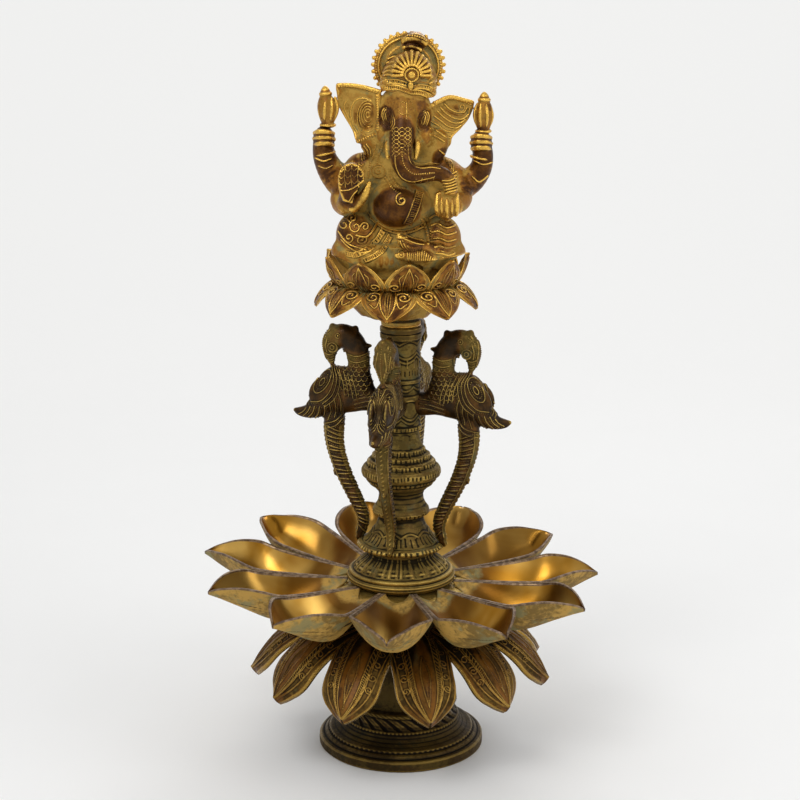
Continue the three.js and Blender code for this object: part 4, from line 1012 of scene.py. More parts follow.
def leafLines():
    # drawn along the leaf, from its root to its tip, and across it
    lines = []
    rim = [(0, 14), (20, 17.4), (45, 17.0), (58, 16.0), (68, 12.4), (76, 6.4), (82, 0)]
    for side in (-1, 1):
        edge = [(a, side * b) for a, b in rim]
        lines.append((flowing([(a, b * 0.92) for a, b in edge], 50), 1.0, 0.4))
        for inner, outer in ((0.42, 0.58), (0.64, 0.66)):  # hatched bands that meet at the tip
            first = flowing([(a, b * inner) for a, b in edge], 44)
            second = flowing([(a, b * outer) for a, b in edge], 44)
            lines += [(first, 0.8, 0.6), (second, 0.8, 0.6)][:2 if inner < 0.6 else 1]
            if inner < 0.6:
                lines += [(np.linspace(first[k], second[min(k + 1, 43)], 4), 0.7, 0.55)
                          for k in range(4, 41)]
        lines.append((flowing([(34, 0), (48, side * 2.6), (60, side * 2.0), (72, 0)], 24), 0.8, 0.5))
        for along, radius, hand in ((30, 3.2, 1), (40, 3.4, -1), (50, 3.2, 1), (59, 2.4, -1)):
            start = 200 if hand > 0 else 20
            lines.append((spiral(along, side * 12.8, radius, 1.35, start, hand * side), 0.8, 0.55))
    lines.append((flowing([(56, 0), (66, 0), (76, 0)], 12), 1.0, 0.6, 1.6))
    return lines


def makeLeaf(i, lines):
    angle = leaves["first"] + i * 360 / leaves["count"]
    u, v = sheetGrid(190, 104)
    rows, columns = u.shape
    upper, share, across = leafGrid(angle, u, v)
    steps = np.linalg.norm(np.diff(upper[:, columns // 2], axis=0), axis=1)
    along = np.r_[0, np.cumsum(steps)][:, None] + 0 * v
    along = along * leaves["drawnLength"] / along.max()
    rise = threads(np.stack([along.ravel(), across.ravel()], 1), lines).reshape(u.shape)
    normal = sheetNormals(upper, (0, 0, 1), rows // 3, columns // 2)
    inward = np.array([-math.sin(math.radians(angle)), math.cos(math.radians(angle)), 0])
    lower = upper + inward * (leaves["thickness"] * 0.8 * share)[..., None]
    lower[..., 2] -= leaves["thickness"] * (1 - 0.35 * u)
    uneven = 0.25 * np.sin(along * 0.21 + i) * np.cos(across * 0.3 + 2 * i)
    edgeKeep = 1 - smoothStep(0.95, 1.0, np.abs(2 * v - 1))
    upper = upper + normal * ((rise + uneven * 0.5) * edgeKeep)[..., None]
    points, faces = shellMesh(upper, lower)
    band = smoothStep(10, 30, along) * (0.4 + 0.6 * np.sin(across * 0.35 + i) ** 2)
    none = np.zeros(u.size)
    polish = np.r_[0.34 * (band * smoothStep(8, 5, np.abs(across))).ravel() + 0.10, none]
    makeMesh(f"leaf{i + 1:02d}", points, faces, "lamp", skin["leafPatina"],
             [f"leaf_{i + 1:02d}"], polish, np.r_[rise.ravel() / 0.75, none])


leafThreads = leafLines()
for i in range(leaves["count"]):
    makeLeaf(i, leafThreads)
print("leaves made")


# Carried-over frame pieces

def refinish(finish, *nodes):
    for node in nodes:
        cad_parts[node].data.materials.clear()
        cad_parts[node].data.materials.append(skin[finish])


refinish("darkBronze", "leaf_ring")
refinish("plainBrass", "tie_rod", "tie_washer", "tie_nut", "top_stud", "seat_nut")


# Peacocks: drawn once, side on, with x outwards from the column's axis

peacock = {"angles": {"front": -14, "right": 76, "back": 166, "left": 256}, "step": 0.5,
           "eye": (43.0, 261.8), "shoulder": (49.4, 239.4)}

tailLine = [(43.6, 214, 6.9), (44.0, 205, 6.3), (43.0, 196, 5.7), (40.2, 186, 5.2), (35.8, 175, 4.9),
            (30.4, 164, 4.5), (26.2, 154.4, 4.1), (25.0, 147.4, 3.7), (26.6, 140.8, 3.0)]


def sculptPeacock():
    s = Sculpture((9, -11, 133), (73, 11, 280), peacock["step"] * coarse)
    neck = [(27.0, 236, 9.2), (27.2, 244, 7.4), (27.3, 251, 7.0), (27.6, 257, 7.0), (30.0, 263.4, 7.2),
            (34.8, 267.6, 7.7), (40.4, 267.8, 7.7), (44.6, 263.6, 6.3), (45.9, 258.2, 4.3),
            (45.5, 253.4, 2.7), (44.8, 250.0, 1.3)]
    s.limb([(x, 0, z, r) for x, z, r in neck], flat=0.8, soft=1.6)
    s.egg((39.2, 0, 233.6), (15, 7.0, 15.4), 22, soft=3)
    s.egg((29.6, 0, 233), (11.4, 6.4, 13), 0, soft=3)
    s.limb([(45.5, 0, 229, 9.4), (53.6, 0, 222.0, 7.0), (60.2, 0, 218.4, 4.6), (66.0, 0, 217.8, 3.0),
            (69.4, 0, 218.6, 1.4)], flat=0.84, soft=2)
    for side in (-1, 1):
        s.egg((47.5, side * 4.6, 232.5), (12.4, 2.9, 10.2), 40, soft=1.6)
        s.egg((peacock["eye"][0], side * 4.6, peacock["eye"][1]), (3.2, 1.5, 3.2), 0, soft=0.8)
    s.limb([(x, 0, z, r) for x, z, r in tailLine], flat=0.72, soft=2.5, count=36)
    s.limb([(26.4, 0, 142, 2.9), (27.2, 0, 138.6, 2.5), (28.2, 0, 136.6, 1.9)], flat=0.9, soft=1.0)
    s.limb([(10.8, 0, 227.4, 7.6), (16, 0, 227.6, 7.4), (22, 0, 228.6, 7.6)], flat=0.82, soft=2.5)
    for x, z, r in ((29.4, 273.0, 2.1), (44.4, 273.8, 2.1), (36.4, 259.1, 1.0)):
        s.egg((x, 0, z), (r, r, r * 1.15), 0, soft=1.6)
    for x, z, tipX, tipZ in ((25.4, 262.2, 19.9, 262.9), (40.6, 186.5, 43.4, 178.6),
                             (32.4, 171.4, 34.4, 165.4)):
        s.limb([(x, 0, z, 2.6), ((x + tipX) / 2, 0, (z + tipZ) / 2, 1.9), (tipX, 0, tipZ, 1.1)], soft=1.4)
    points, faces = s.mesh()
    points, faces = refine(ease(points, faces, 2), faces)
    points = ease(points, faces, 1)
    return points, faces, s.form(points, 1.6)


def twice(points, width=0.95, height=0.7, gap=1.25, pitch=1.25):
    # a plain thread with a beaded one beside it
    line = flowing(points, 30)
    across = np.gradient(line, axis=0)
    length = np.linalg.norm(across, axis=1, keepdims=True) + 1e-9
    across = np.stack([across[:, 1], -across[:, 0]], 1) / length
    return [(line, width, height), (line + gap * across, width * 0.85, height * 0.85, pitch)]


def headAndNeckLines():
    ex, ez = peacock["eye"]
    lines = [(ring(ex, ez, 1.2), 0.8, 0.55), (ring(ex, ez, 2.9), 0.8, 0.6),
             (ring(39.2, 269.4, 1.5), 0.7, 0.5), (ring(39.2, 269.4, 0.3), 0.8, 0.5)]
    lines += twice([(44.8, 272.6), (48.4, 269), (49.9, 264), (49.2, 258.6)])
    lines += twice([(46.4, 266.8), (47.4, 262.6), (46.8, 258.4)])
    lines += twice([(42.6, 257.6), (45.8, 256.6), (48.6, 257.6)])
    lines += [(flowing([(43.4, 255.4 - 1.6 * k), (45.4, 254.6 - 1.6 * k),
                        (47.6 - 0.5 * k, 255.6 - 1.6 * k)], 10), 0.7, 0.45) for k in range(3)]
    for z in (258.2, 254.2):
        lines += twice([(20.4, z + 0.6), (27, z - 1.4), (34.0, z - 0.2)])
    for row in range(7):  # scales down the neck
        z = 251.6 - row * 2.9
        for k in range(5):
            a = np.radians(np.linspace(185, 355, 10))
            x = 20.8 + 3.3 * k + (1.65 if row % 2 else 0)
            lines.append((np.stack([x + 1.65 * np.cos(a), z + 2.0 * np.sin(a)], 1), 0.8, 0.6))
    return lines


def wingLines():
    lines = []
    sx, sz = peacock["shoulder"]
    tilt = math.radians(-56)
    for k, r in enumerate((1.5, 3.1, 4.7)):  # rings on the shoulder
        a = np.linspace(0, 2 * math.pi, 36)
        u, w = r * 1.75 * np.cos(a), r * 0.82 * np.sin(a)
        loop = np.stack([sx + u * math.cos(tilt) - w * math.sin(tilt),
                         sz + u * math.sin(tilt) + w * math.cos(tilt)], 1)
        lines.append((loop, 0.95, 0.7, 1.2) if k == 1 else (loop, 0.95, 0.7))
    for k in range(3):  # arcs round them, open at the front
        arc = [(44.6 - 1.6 * k, 249.0 - 0.3 * k), (42.2 - 2.2 * k, 242 - 0.4 * k),
               (44.6 - 2.0 * k, 233.4 - 1.6 * k), (50.4 - 1.2 * k, 227.4 - 2.0 * k),
               (57.4 - 0.2 * k, 226.0 - 2.2 * k)]
        lines += twice(arc if k == 0 else arc[:4])
    feathers = [[(38.8, 233), (37.4, 227), (38.2, 219)], [(41.6, 229.6), (40.9, 224), (42.2, 216.6)],
                [(44.6, 226.2), (44.4, 221), (46.4, 214.6)], [(47.8, 224.4), (48.4, 219.6), (51.0, 214.4)],
                [(51.2, 223.4), (52.6, 218.8), (55.6, 214.8)],
                [(54.6, 223.2), (56.4, 218.8), (59.8, 215.4)],
                [(57.8, 222.6), (60.0, 218.8), (63.4, 216.0)],
                [(61.0, 221.0), (63.2, 218.6), (66.4, 216.8)]]
    for k in range(2):  # under the feathers, down to the tail's bands
        lines += twice([(37.4, 219 - 3.3 * k), (41.6, 214.4 - 3.3 * k), (49.6, 211.6 - 3.3 * k)], 0.95,
                       0.65, 1.15)
    for k in range(3):  # towards the lug
        lines += twice([(13.4, 231.6 - 2.7 * k), (21, 231.0 - 2.8 * k), (29, 229.0 - 3.0 * k)], 0.9, 0.6,
                       1.1)
    for feather in feathers:
        lines += twice(feather, 0.95, 0.7, 1.15)
    for k in range(4):  # breast
        lines += twice([(39.4 - 3.0 * k, 247.4 - 1.0 * k), (36.0 - 2.8 * k, 240 - 1.4 * k),
                        (34.4 - 2.6 * k, 231.4 - 0.6 * k)])
    return lines


def tailLines():
    lines = []
    spine = flowing([(x, z) for x, z, _ in tailLine], 60)
    radius = np.interp(np.linspace(0, 1, 60), np.linspace(0, 1, len(tailLine)), [r for _, _, r in tailLine])
    tangent = np.gradient(spine, axis=0)
    tangent /= np.linalg.norm(tangent, axis=1, keepdims=True)
    normal = np.stack([-tangent[:, 1], tangent[:, 0]], 1)
    lines.append((spine[2:] + normal[2:] * radius[2:, None] * 0.62, 0.9, 0.6))
    length = np.r_[0, np.cumsum(np.linalg.norm(np.diff(spine, axis=0), axis=1))]
    for k in range(24):  # folded bands down the tail, with dots between them
        i = int(np.searchsorted(length, 2.5 + 3.15 * k))
        if i > 56:
            break
        c, w = spine[i], radius[i]
        hook = 3.4 + 0.7 * math.sin(2.3 * k)
        end = c - normal[i] * w * 0.9 + tangent[i] * hook
        lines.append((flowing([c + normal[i] * w * 0.5, c + tangent[i] * hook * 0.35, end], 12), 1.2, 0.6))
        if k < 7:
            d = c + tangent[i] * 1.6
            end = d - normal[i] * w * 0.85 + tangent[i] * hook
            lines.append((flowing([d + normal[i] * w * 0.5, d + tangent[i] * hook * 0.5, end], 12), 0.9,
                          0.6, 1.3))
    return lines


def breastLines():
    # seen from the front: nested arcs each side of a seam on the wings, a beaded seam on the head
    lines = [([(0, 253), (0, 262), (0, 272)], 0.9, 0.6, 1.3),
             ([(0, 246), (0, 236), (0, 224)], 0.8, 0.5, 1.2)]
    for side in (-1, 1):
        lines += [([(side * 1.3, 254), (side * 2.9, 261), (side * 2.0, 269)], 0.9, 0.6),
                  ([(side * 2.6, 253), (side * 4.6, 261), (side * 3.6, 269)], 0.8, 0.5, 1.2)]
        for k in range(5):
            r = 1.4 + 1.15 * k
            arc = [(4.0 - 0.2 * r, 237 + 1.9 * r), (4.0 - 0.75 * r, 235 + 0.4 * r),
                   (4.0 - 0.65 * r, 233 - 1.1 * r), (4.2, 232 - 1.9 * r)]
            lines.append(([(side * y, z) for y, z in arc], 0.85, 0.6))
    return [(flowing(line[0], 24),) + tuple(line[1:]) for line in lines]


def makePeacocks():
    points, faces, form = sculptPeacock()
    normals = vertexNormals(points, faces)
    side = smoothStep(0.05, 0.42, np.abs(normals[:, 1]))
    ornament = threads(points[:, [0, 2]], headAndNeckLines() + wingLines() + tailLines())
    tail = smoothStep(214, 210, points[:, 2])
    front = 0.5 * smoothStep(-0.2, 0.7, np.cos(points[:, 2] * 2.2 + points[:, 1] * 1.5)) * (1 - side) * tail
    breast = threads(points[:, [1, 2]], breastLines())
    front = front + breast * smoothStep(0.35, 0.7, normals[:, 0]) * (1 - tail)
    rise = ornament * side * smoothStep(0.75, 0.5, normals[:, 0] * (1 - tail))
    x, y, z = (points + normals * (rise + front)[:, None]).T
    # brown is left between the threads, most on the wing and tail; the bend of the neck is nearly black
    dark = 0.46 * smoothStep(254, 244, z) + 0.18 + 0.10 * np.sin(z * 0.35 + x * 0.5)
    dark = np.maximum(dark, 0.95 * smoothStep(254, 264, z) * smoothStep(42, 34, x))
    nearLug = 0.45 * smoothStep(28, 16, x) * smoothStep(212, 220, z) * smoothStep(246, 238, z)
    dark = np.maximum(dark, nearLug)
    dark = np.where(np.abs(normals[:, 0]) * tail > 0.5, 0.1, dark)
    dark = np.maximum(dark, 0.34 * smoothStep(0.8, 1.0, normals[:, 0]) * (1 - tail))
    for where, angle in peacock["angles"].items():
        a = math.radians(angle)
        placed = np.stack([x * math.sin(a) - y * math.cos(a), -x * math.cos(a) - y * math.sin(a), z], 1)
        makeMesh("peacock" + where.capitalize(), placed, faces, "lamp", skin["olivePatina"],
                 ["peacock_" + where], dark, (rise + front * 0.8) / 0.95, form * 0.5)
    print("peacocks made", len(points))


makePeacocks()


# Lotus seat

seat = {
    "shift": -3.2,
    "lower": dict(count=8, first=-6, reach=51.0, tipZ=288.6, wall=1.6, tilt=0.3),
    "upper": dict(count=9, first=10.5, reach=45.6, tipZ=322.6, wall=1.5, tilt=-0.3),
}


def seatPetal(kind, angle):
    u, v = sheetGrid(96, 84)
    s = 2 * v - 1
    d = seat[kind]
    if kind == "lower":
        r = curveThrough((0, 31), (0.25, 39.4), (0.5, 45.2), (0.78, 49.6), (1, d["reach"]))(u)
        z = curveThrough((0, 304.4), (0.25, 304.2), (0.5, 300.4), (0.78, 294.0), (1, d["tipZ"]))(u)
        half = curveThrough((0, 12.5), (0.3, 16.6), (0.55, 16.2), (0.78, 10.6), (0.92, 4.8), (1, 0.6))(u)
        r = r - 4.2 * s * s * np.sin(math.pi * np.clip(u * 0.7 + 0.2, 0, 1))
        z = z - 1.6 * s * s * (1 - 0.4 * u)
    else:
        r = curveThrough((0, 33.6), (0.3, 38.2), (0.6, 42.4), (0.85, 44.8), (1, d["reach"]))(u)
        z = curveThrough((0, 302.6), (0.3, 305.4), (0.6, 311.6), (0.85, 318.4), (1, d["tipZ"]))(u)
        half = curveThrough((0, 10.6), (0.3, 14.0), (0.6, 13.6), (0.82, 9.0), (0.93, 4.6), (1, 0.8))(u)
        r = r - 2.6 * s * s
    a = math.radians(angle)
    x, y = r * math.sin(a) + half * s * math.cos(a), -r * math.cos(a) + half * s * math.sin(a)
    front = np.stack([x + seat["shift"], y, z], -1)
    outward = np.array([math.sin(a), -math.cos(a), d["tilt"]])
    normal = sheetNormals(front, outward, u.shape[0] // 2, u.shape[1] // 2)
    across = half * s
    along = 30 * u
    points = np.stack([along.ravel(), across.ravel()], 1)
    lines = []
    for side in (-1, 1):
        if kind == "lower":
            lines.append((flowing([(3, side * 12.6), (12, side * 14.2), (19, side * 12.2),
                                   (25, side * 6.4), (29.4, 0)], 30), 1.2, 0.3))
            lines.append((flowing([(3, side * 3.4), (13, side * 4.6), (21, side * 3.6), (28, 0)], 24), 1.0,
                          0.7))
            lines.append((flowing([(2, side * 0.9), (13, side * 1.6), (22, side * 1.2), (28, 0)], 20), 0.8,
                          0.55))
            lines.append((spiral(12, side * 9.2, 4.6, 1.45, 240 if side > 0 else 120, -side, 40), 1.25,
                          0.8))
            lines.append((flowing([(6, side * 5.4), (14, side * 5.2), (20, side * 7.2), (17, side * 11.2)],
                                  20), 1.0, 0.6))
        else:
            lines.append((flowing([(5, side * 9.6), (14, side * 11.4), (21, side * 9.4),
                                   (26, side * 4.6), (29.4, 0)], 30), 1.2, 0.35))
            lines.append((flowing([(4, side * 2.2), (12, side * 3.4), (20, side * 2.6), (27, 0)], 20), 0.9,
                          0.6))
            lines.append((spiral(13, side * 7.8, 3.9, 1.35, 240 if side > 0 else 120, -side, 36), 1.15,
                          0.75))
            lines.append((flowing([(6, side * 4.4), (14, side * 4.6), (20, side * 5.6), (23, side * 3.4)],
                                  20), 0.9, 0.55))
    lines.append((flowing([(3, 0), (26, 0)], 6), 0.8, 0.5))
    rise = threads(points, lines).reshape(u.shape) * (1 - smoothStep(0.95, 1.0, np.abs(s)))
    back = front - normal * (d["wall"] * (1 - 0.35 * u))[..., None]
    front = front + normal * rise[..., None]
    ground = 1 - smoothStep(0.66, 0.86, np.abs(s) + 0.05 * np.sin(u * 40))
    ground = ground * smoothStep(0.12, 0.26, u) * (1 - smoothStep(0.9, 0.98, u))
    points, faces = shellMesh(front, back)
    none = np.zeros(u.size)
    mottle = 0.52 + 0.16 * np.sin(along * 0.45 + angle) * np.cos(across * 0.5 + angle)
    return points, faces, np.r_[(mottle * ground).ravel(), none], np.r_[rise.ravel() / 0.75, none]


def seatCup():
    profile = [(0.2, 277.4), (12.2, 277.4), (12.4, 278.0), (12.4, 281.4), (13.4, 282.3), (21.6, 284.4),
               (30.5, 293.4), (34.2, 298.0), (35.4, 302.0), (34.4, 305.6), (33.8, 307.95), (24.0, 307.95),
               (23.6, 297.0), (12.4, 287.0), (0.2, 287.0)]
    cup = turnedPiece("lotusCup", profile, cupRelief, "top", skin["goldPatina"],
                      ["lotus_seat"], 240)
    leanOver(cup, 279.0, 284.0, seat["shift"])


def cupRelief(angle, r, z, outward):
    return np.where((z > 284) & (outward > 0.2), 0.5 * np.sin(np.radians(angle) * 8), 0)


def leanOver(piece, low, high, shift):
    # leans the cup over to the seat's own centre, above its collar
    data = piece.data
    co = np.empty(len(data.vertices) * 3, np.float32)
    data.vertices.foreach_get("co", co)
    co = co.reshape(-1, 3)
    co[:, 0] += smoothStep(low * mm, high * mm, co[:, 2]) * shift * mm
    data.vertices.foreach_set("co", co.ravel())
    data.update()


seatCup()
for kind in ("lower", "upper"):
    for i in range(seat[kind]["count"]):
        angle = seat[kind]["first"] + i * 360 / seat[kind]["count"]
        points, faces, ground, rise = seatPetal(kind, angle)
        makeMesh(f"{kind}Petal{i + 1}", points, faces, "top", skin["goldPatina"],
                 polish=ground, raised=rise)
print("lotus seat made")


# Figure: its places are in millimetres from the middle of its base

figure = {"baseZ": 308.4, "shift": -1.0, "step": 0.62, "top": 148.2, "socket": 31.5,
          "haloX": 5.5, "haloZ": 127.4, "haloRadius": 22.0, "haloTeeth": 24, "crownX": 4.8, "crownZ": 113,
          "medalX": 7.4, "medalZ": 124.2, "rays": 13}

# hand and bud are (x, height); arm has the stations from the shoulder to the wrist (x, y, z, radius)
raisedArms = {
    "left": dict(side=-1, hand=(-45.6, 85.0), bud=(-43.2, 94.0), lean=-4, arm=[
        (-24, 1, 60, 12), (-33, 0, 57, 10.4), (-40.4, -1, 63.4, 8.6), (-45.0, -2, 72, 7.2),
        (-46.2, -3, 79, 6.5), (-45.8, -4, 84, 6.2)]),
    "right": dict(side=1, hand=(49.6, 82.4), bud=(50.8, 90.4), lean=1, arm=[
        (27, 1, 58, 11.4), (36, 0, 55.4, 9.6), (44.4, -1, 59.6, 8.0), (49.6, -2, 66.6, 6.8),
        (50.8, -3, 74, 6.3), (50.0, -4, 80, 6.1)]),
}

trunk = [(2.8, -15, 106, 8.6), (2.6, -20, 99, 8.3), (2.0, -24.6, 91, 7.6), (0.9, -28.6, 82.4, 6.9),
         (1.3, -31.6, 74.6, 6.4), (5.0, -33.8, 68.0, 6.0), (11.6, -34.4, 66.4, 5.4),
         (18.6, -34.2, 67.4, 4.9), (25.0, -33.8, 66.6, 4.5), (29.2, -33.2, 62.6, 4.4),
         (30.2, -33, 57.4, 4.3)]


def earDepth(rootX, tipX, rootY, tipY):
    def depth(x, z):
        t = np.clip((x - rootX) / (tipX - rootX), 0, 1)
        return rootY + (tipY - rootY) * t + 2.6 * np.sin(math.pi * t) * smoothStep(82, 92, z)
    return depth


def sculptLegs(s):
    s.turned([(0, 0.3), (30, 0.3), (30.6, 12), (28, 22), (0, 27)], (-1.4, 0, 0))
    s.egg((0, 2, 24), (31, 22, 19))
    s.egg((-25.0, -11, 26.4), (13.6, 13, 15), -10)
    s.egg((25.0, -11, 24), (12.6, 13, 14.6), 10)
    s.limb([(-34, -11, 17, 7.6), (-27, -18, 14, 8.4), (-17, -24.4, 14.6, 8.2), (-6, -27, 14, 6.6),
            (2, -27.6, 12, 4.8)])
    s.limb([(33, -10, 16, 7.6), (29, -18, 14, 8.4), (22, -25, 16.5, 7.4)])
    # the pointed foot, and the little mouse under it
    s.limb([(19, -28, 20, 5.0), (14.4, -31, 21.8, 4.2), (9, -33.4, 23.2, 4.4), (4.4, -34.6, 25.0, 4.2),
            (1.4, -35.2, 27.4, 2.9), (-0.4, -35.6, 30.4, 1.0)], soft=1.0)
    s.limb([(19.4, -33.6, 9.4, 3.4), (18.8, -34.6, 14.2, 4.8), (13.6, -35.6, 17.2, 4.8),
            (8, -36.4, 17.6, 3.9), (3.4, -37.2, 18.0, 3.1), (0.2, -38, 18.2, 2.3),
            (-1.9, -38.4, 18.6, 1.2)], soft=0.8)
    s.egg((1.2, -39.8, 19.2), (0.8, 0.8, 0.8), 0, soft=0.3)
    s.egg((4.6, -36.6, 21.4), (1.8, 1.2, 1.6), 20, soft=0.5)


def sculptTorso(s):
    s.egg((2, 1, 45), (31, 17, 19))
    s.egg((0.4, -11.4, 45.6), (19.0, 19.6, 16.6), soft=1.4)
    s.egg((2.5, -2, 68), (26, 14.4, 17))
    s.egg((-22, -1, 63), (12, 11, 13), -20)
    s.egg((27, -1, 61), (11, 11, 12), 20)
    s.egg((2.4, -3, 83), (20, 13, 12))
    s.egg((-14, -9, 82), (9, 7, 12), -28, soft=3)
    s.egg((20, -9, 80), (9, 7, 12), 28, soft=3)


def sculptHead(s):
    s.egg((3.2, -7, 101.6), (16.2, 16.6, 16.6), 6)
    s.egg((2.4, -10, 88), (14, 13, 12))
    s.egg((-7.6, -14, 90), (7.6, 8, 9), soft=2)
    s.egg((12.6, -14, 88.6), (7.6, 8, 9), soft=2)
    s.limb(trunk, soft=1.3, count=40)
    s.limb([(-5.4, -20, 86, 2.6), (-6.4, -23.4, 81.6, 2.5), (-6.9, -25.6, 75.4, 1.2)], soft=0.7)
    s.limb([(9.4, -20, 86.4, 2.5), (10.6, -23.4, 81.6, 2.3), (9.6, -26, 75.0, 1.1)], soft=0.7)
    for x, z, tilt in ((-7.0, 99.2, -14), (14.2, 97.4, 14)):
        s.egg((x, -19.2, z), (3.6, 2.3, 5.6), tilt * 1.6, soft=1.4)
        s.egg((x, -21.0, z - 0.4), (1.5, 1.0, 2.8), tilt * 1.6, soft=0.4)
    left = flowing([(-11, 113.2), (-21.1, 115.6), (-30, 117.0), (-37.7, 117.1), (-37.6, 110.6),
                    (-36.2, 103.5), (-33.2, 97.6), (-28.6, 90), (-25.4, 82.8), (-18, 85.4), (-10, 88)], 50)
    right = flowing([(15, 103), (19.5, 105.2), (24, 108), (30.6, 110.6), (38.9, 108.6), (45.0, 106.7),
                     (42.4, 97.3), (36.9, 90.4), (32.1, 85.6), (30.4, 80.8), (22, 80.4), (14, 82)], 50)
    s.plate(left, 3.0, earDepth(-11, -38, -11, -3), soft=2)
    s.plate(right, 3.0, earDepth(15, 44, -11, -3), soft=2)
    # thick beaded border beside the cheek and along the lower edge
    s.limb([(-12.6, -12.4, 111, 1.5), (-12.2, -13.6, 100, 1.6), (-12.6, -13.4, 90.4, 1.6),
            (-18.6, -11.6, 86.6, 1.5), (-25, -8, 83.4, 1.3)], soft=0.6, count=30)
    s.limb([(-12, -10.4, 113.4, 1.4), (-21, -7.4, 115.8, 1.3), (-30, -5.2, 117, 1.2),
            (-37, -3.4, 116.8, 1.2)], soft=0.6, count=24)
    s.limb([(17.4, -11, 104, 1.3), (24, -9.6, 107.8, 1.3), (30.6, -7.6, 110.0, 1.3),
            (38.6, -5, 108.2, 1.2), (44.2, -3.4, 106.4, 1.1)], soft=0.6, count=24)


def haloThickness(x, z):
    away = np.hypot(x - figure["haloX"], (z - figure["haloZ"]) * 1.06)
    rim = 2.6 * smoothStep(17.0, 17.8, away)
    groove = 1.5 * smoothStep(18.2, 18.8, away)
    return 2.4 + rim - groove + 1.2 * (1 - smoothStep(13.6, 14.6, away))


def sculptCrown(s):
    f = figure
    dome = [(0, 0), (16.6, 0), (17.4, 0.8), (17.6, 2.4), (16.8, 3.6), (17.4, 4.8), (17.2, 6.4),
            (16.0, 7.4), (16.8, 9.4), (15.4, 13.4), (12.6, 17.6), (8.6, 21.4), (4, 24.0), (0, 24.8)]
    s.turned(dome, (f["crownX"], -4, f["crownZ"]), tilt=(7, 9), squeeze=0.94, soft=0.8)
    # medallion, its drop and the rounded rays round it
    s.turned([(0, -1), (3.4, -1), (4.3, 0), (3.6, 1), (2.9, 0.5), (0, 0.5)], (7.4, -21.6, 124.0),
             tilt=(90, 0), soft=0.4)
    s.egg((7.4, -22.6, 124.0), (2.3, 1.6, 2.3), 0, soft=0.3)
    s.egg((6.8, -22.0, 117.9), (1.7, 1.5, 2.7), 0, soft=0.4)
    for k in range(f["rays"]):
        a = math.radians(-6 + 192 * k / (f["rays"] - 1))
        c, d = math.cos(a), math.sin(a)
        bend = 0.041 + 0.036 * d * d
        ray = ((5.2, 1.0), (7.6, 1.35), (10.4, 1.6), (12.6 - 1.6 * abs(c), 1.5))
        s.limb([(f["medalX"] + r * c, -22.0 + bend * r * r, f["medalZ"] + r * d, w) for r, w in ray],
               soft=0.3)
    # halo: toothed rim, raised ring, groove and inner plate
    a = np.radians(np.linspace(-137, 137, 90))
    edge = np.stack([f["haloX"] + (f["haloRadius"] - 1.2) * np.sin(a), f["haloZ"] + 20.0 * np.cos(a)], 1)
    s.plate(edge, haloThickness, lambda x, z: 6.8 + 0 * x, soft=0.8)
    for k in range(f["haloTeeth"]):
        b = math.radians(-134 + 268 * k / (f["haloTeeth"] - 1))
        sb, cb = math.sin(b), math.cos(b)
        tip = f["haloRadius"] - 0.4
        s.limb([(f["haloX"] + 18.9 * sb, 5.6, f["haloZ"] + 18.0 * cb, 0.95),
                (f["haloX"] + tip * sb, 6.4, f["haloZ"] + 20.2 * cb, 1.35)], soft=0.3)
    s.limb([(3.2, 0.6, 142.6, 2.2), (6, 0, 143.6, 3.0), (9.4, -0.2, 144.2, 3.4), (13, 0.4, 143.2, 3.0),
            (15.4, 1, 141.4, 2.0)], soft=0.6)
    s.limb([(3.0, -0.4, 138.8, 1.5), (7.6, -1.2, 139.2, 2.0), (12.4, -0.6, 137.4, 1.5)], soft=0.5)
    s.egg((9.4, 4, 145.4), (5.4, 4.6, 2.6), 0, soft=0.8)


def sculptRaisedArm(s, side, hand, bud, lean, arm):
    x, z = hand
    s.limb(arm, flat=0.94)
    s.egg((x, -4.4, z), (6.4, 6.0, 7.4), 0, soft=1.2)
    # three fingers closed on the stem
    for drop, tilt, reach in ((4.0, -0.8, 5.4), (0.6, 0, 5.8), (-2.8, 0.5, 5.2)):
        s.limb([(x - reach, -5.6, z + drop - 0.8, 1.5), (x - 2.4, -9.8, z + drop + 0.3, 1.9),
                (x + 2.4, -9.8, z + drop + 0.3 + tilt * 0.3, 1.9), (x + reach, -5.8, z + drop - 1.2, 1.5)],
               soft=0.35)
    s.turned([(0, -0.9), (6.3, -0.9), (7.0, 0), (6.3, 0.9), (0, 0.9)], (x - side * 0.2, -3, z - 9.4),
             tilt=(0, side * 10), soft=0.4)
    s.turned([(0, -1.2), (4.6, -1.0), (5.2, 0), (4.6, 1.0), (0, 1.2)], (bud[0], -6, bud[1] - 1.0), soft=0.5)
    profile = [(0, -3), (3.4, -2.6), (3.6, 0), (5.0, 4), (5.7, 8.4), (5.4, 12.2), (4.2, 15.4), (3.4, 16.4),
               (4.0, 17.3), (4.0, 18.4), (3.0, 19.2), (2.5, 20.6), (1.2, 22.2), (0, 22.8)]
    s.turned(profile, (bud[0], -6, bud[1]), tilt=(0, lean), soft=0.5)
    top = math.tan(math.radians(-lean)) * 16  # how far the bud's tip leans over
    for k in range(8):  # ribs up the bud
        b = math.radians(45 * k + 22)
        c, d = math.cos(b), math.sin(b)
        rib = ((3.4, 0, 1.0, 0.8), (5.4, 0.35, 6.4, 1.15), (5.3, 0.6, 11, 1.15), (3.6, 1, 15.6, 0.7))
        s.limb([(bud[0] + r * c + top * share, -6 + r * d, bud[1] + rise, w) for r, share, rise, w in rib],
               soft=0.25)


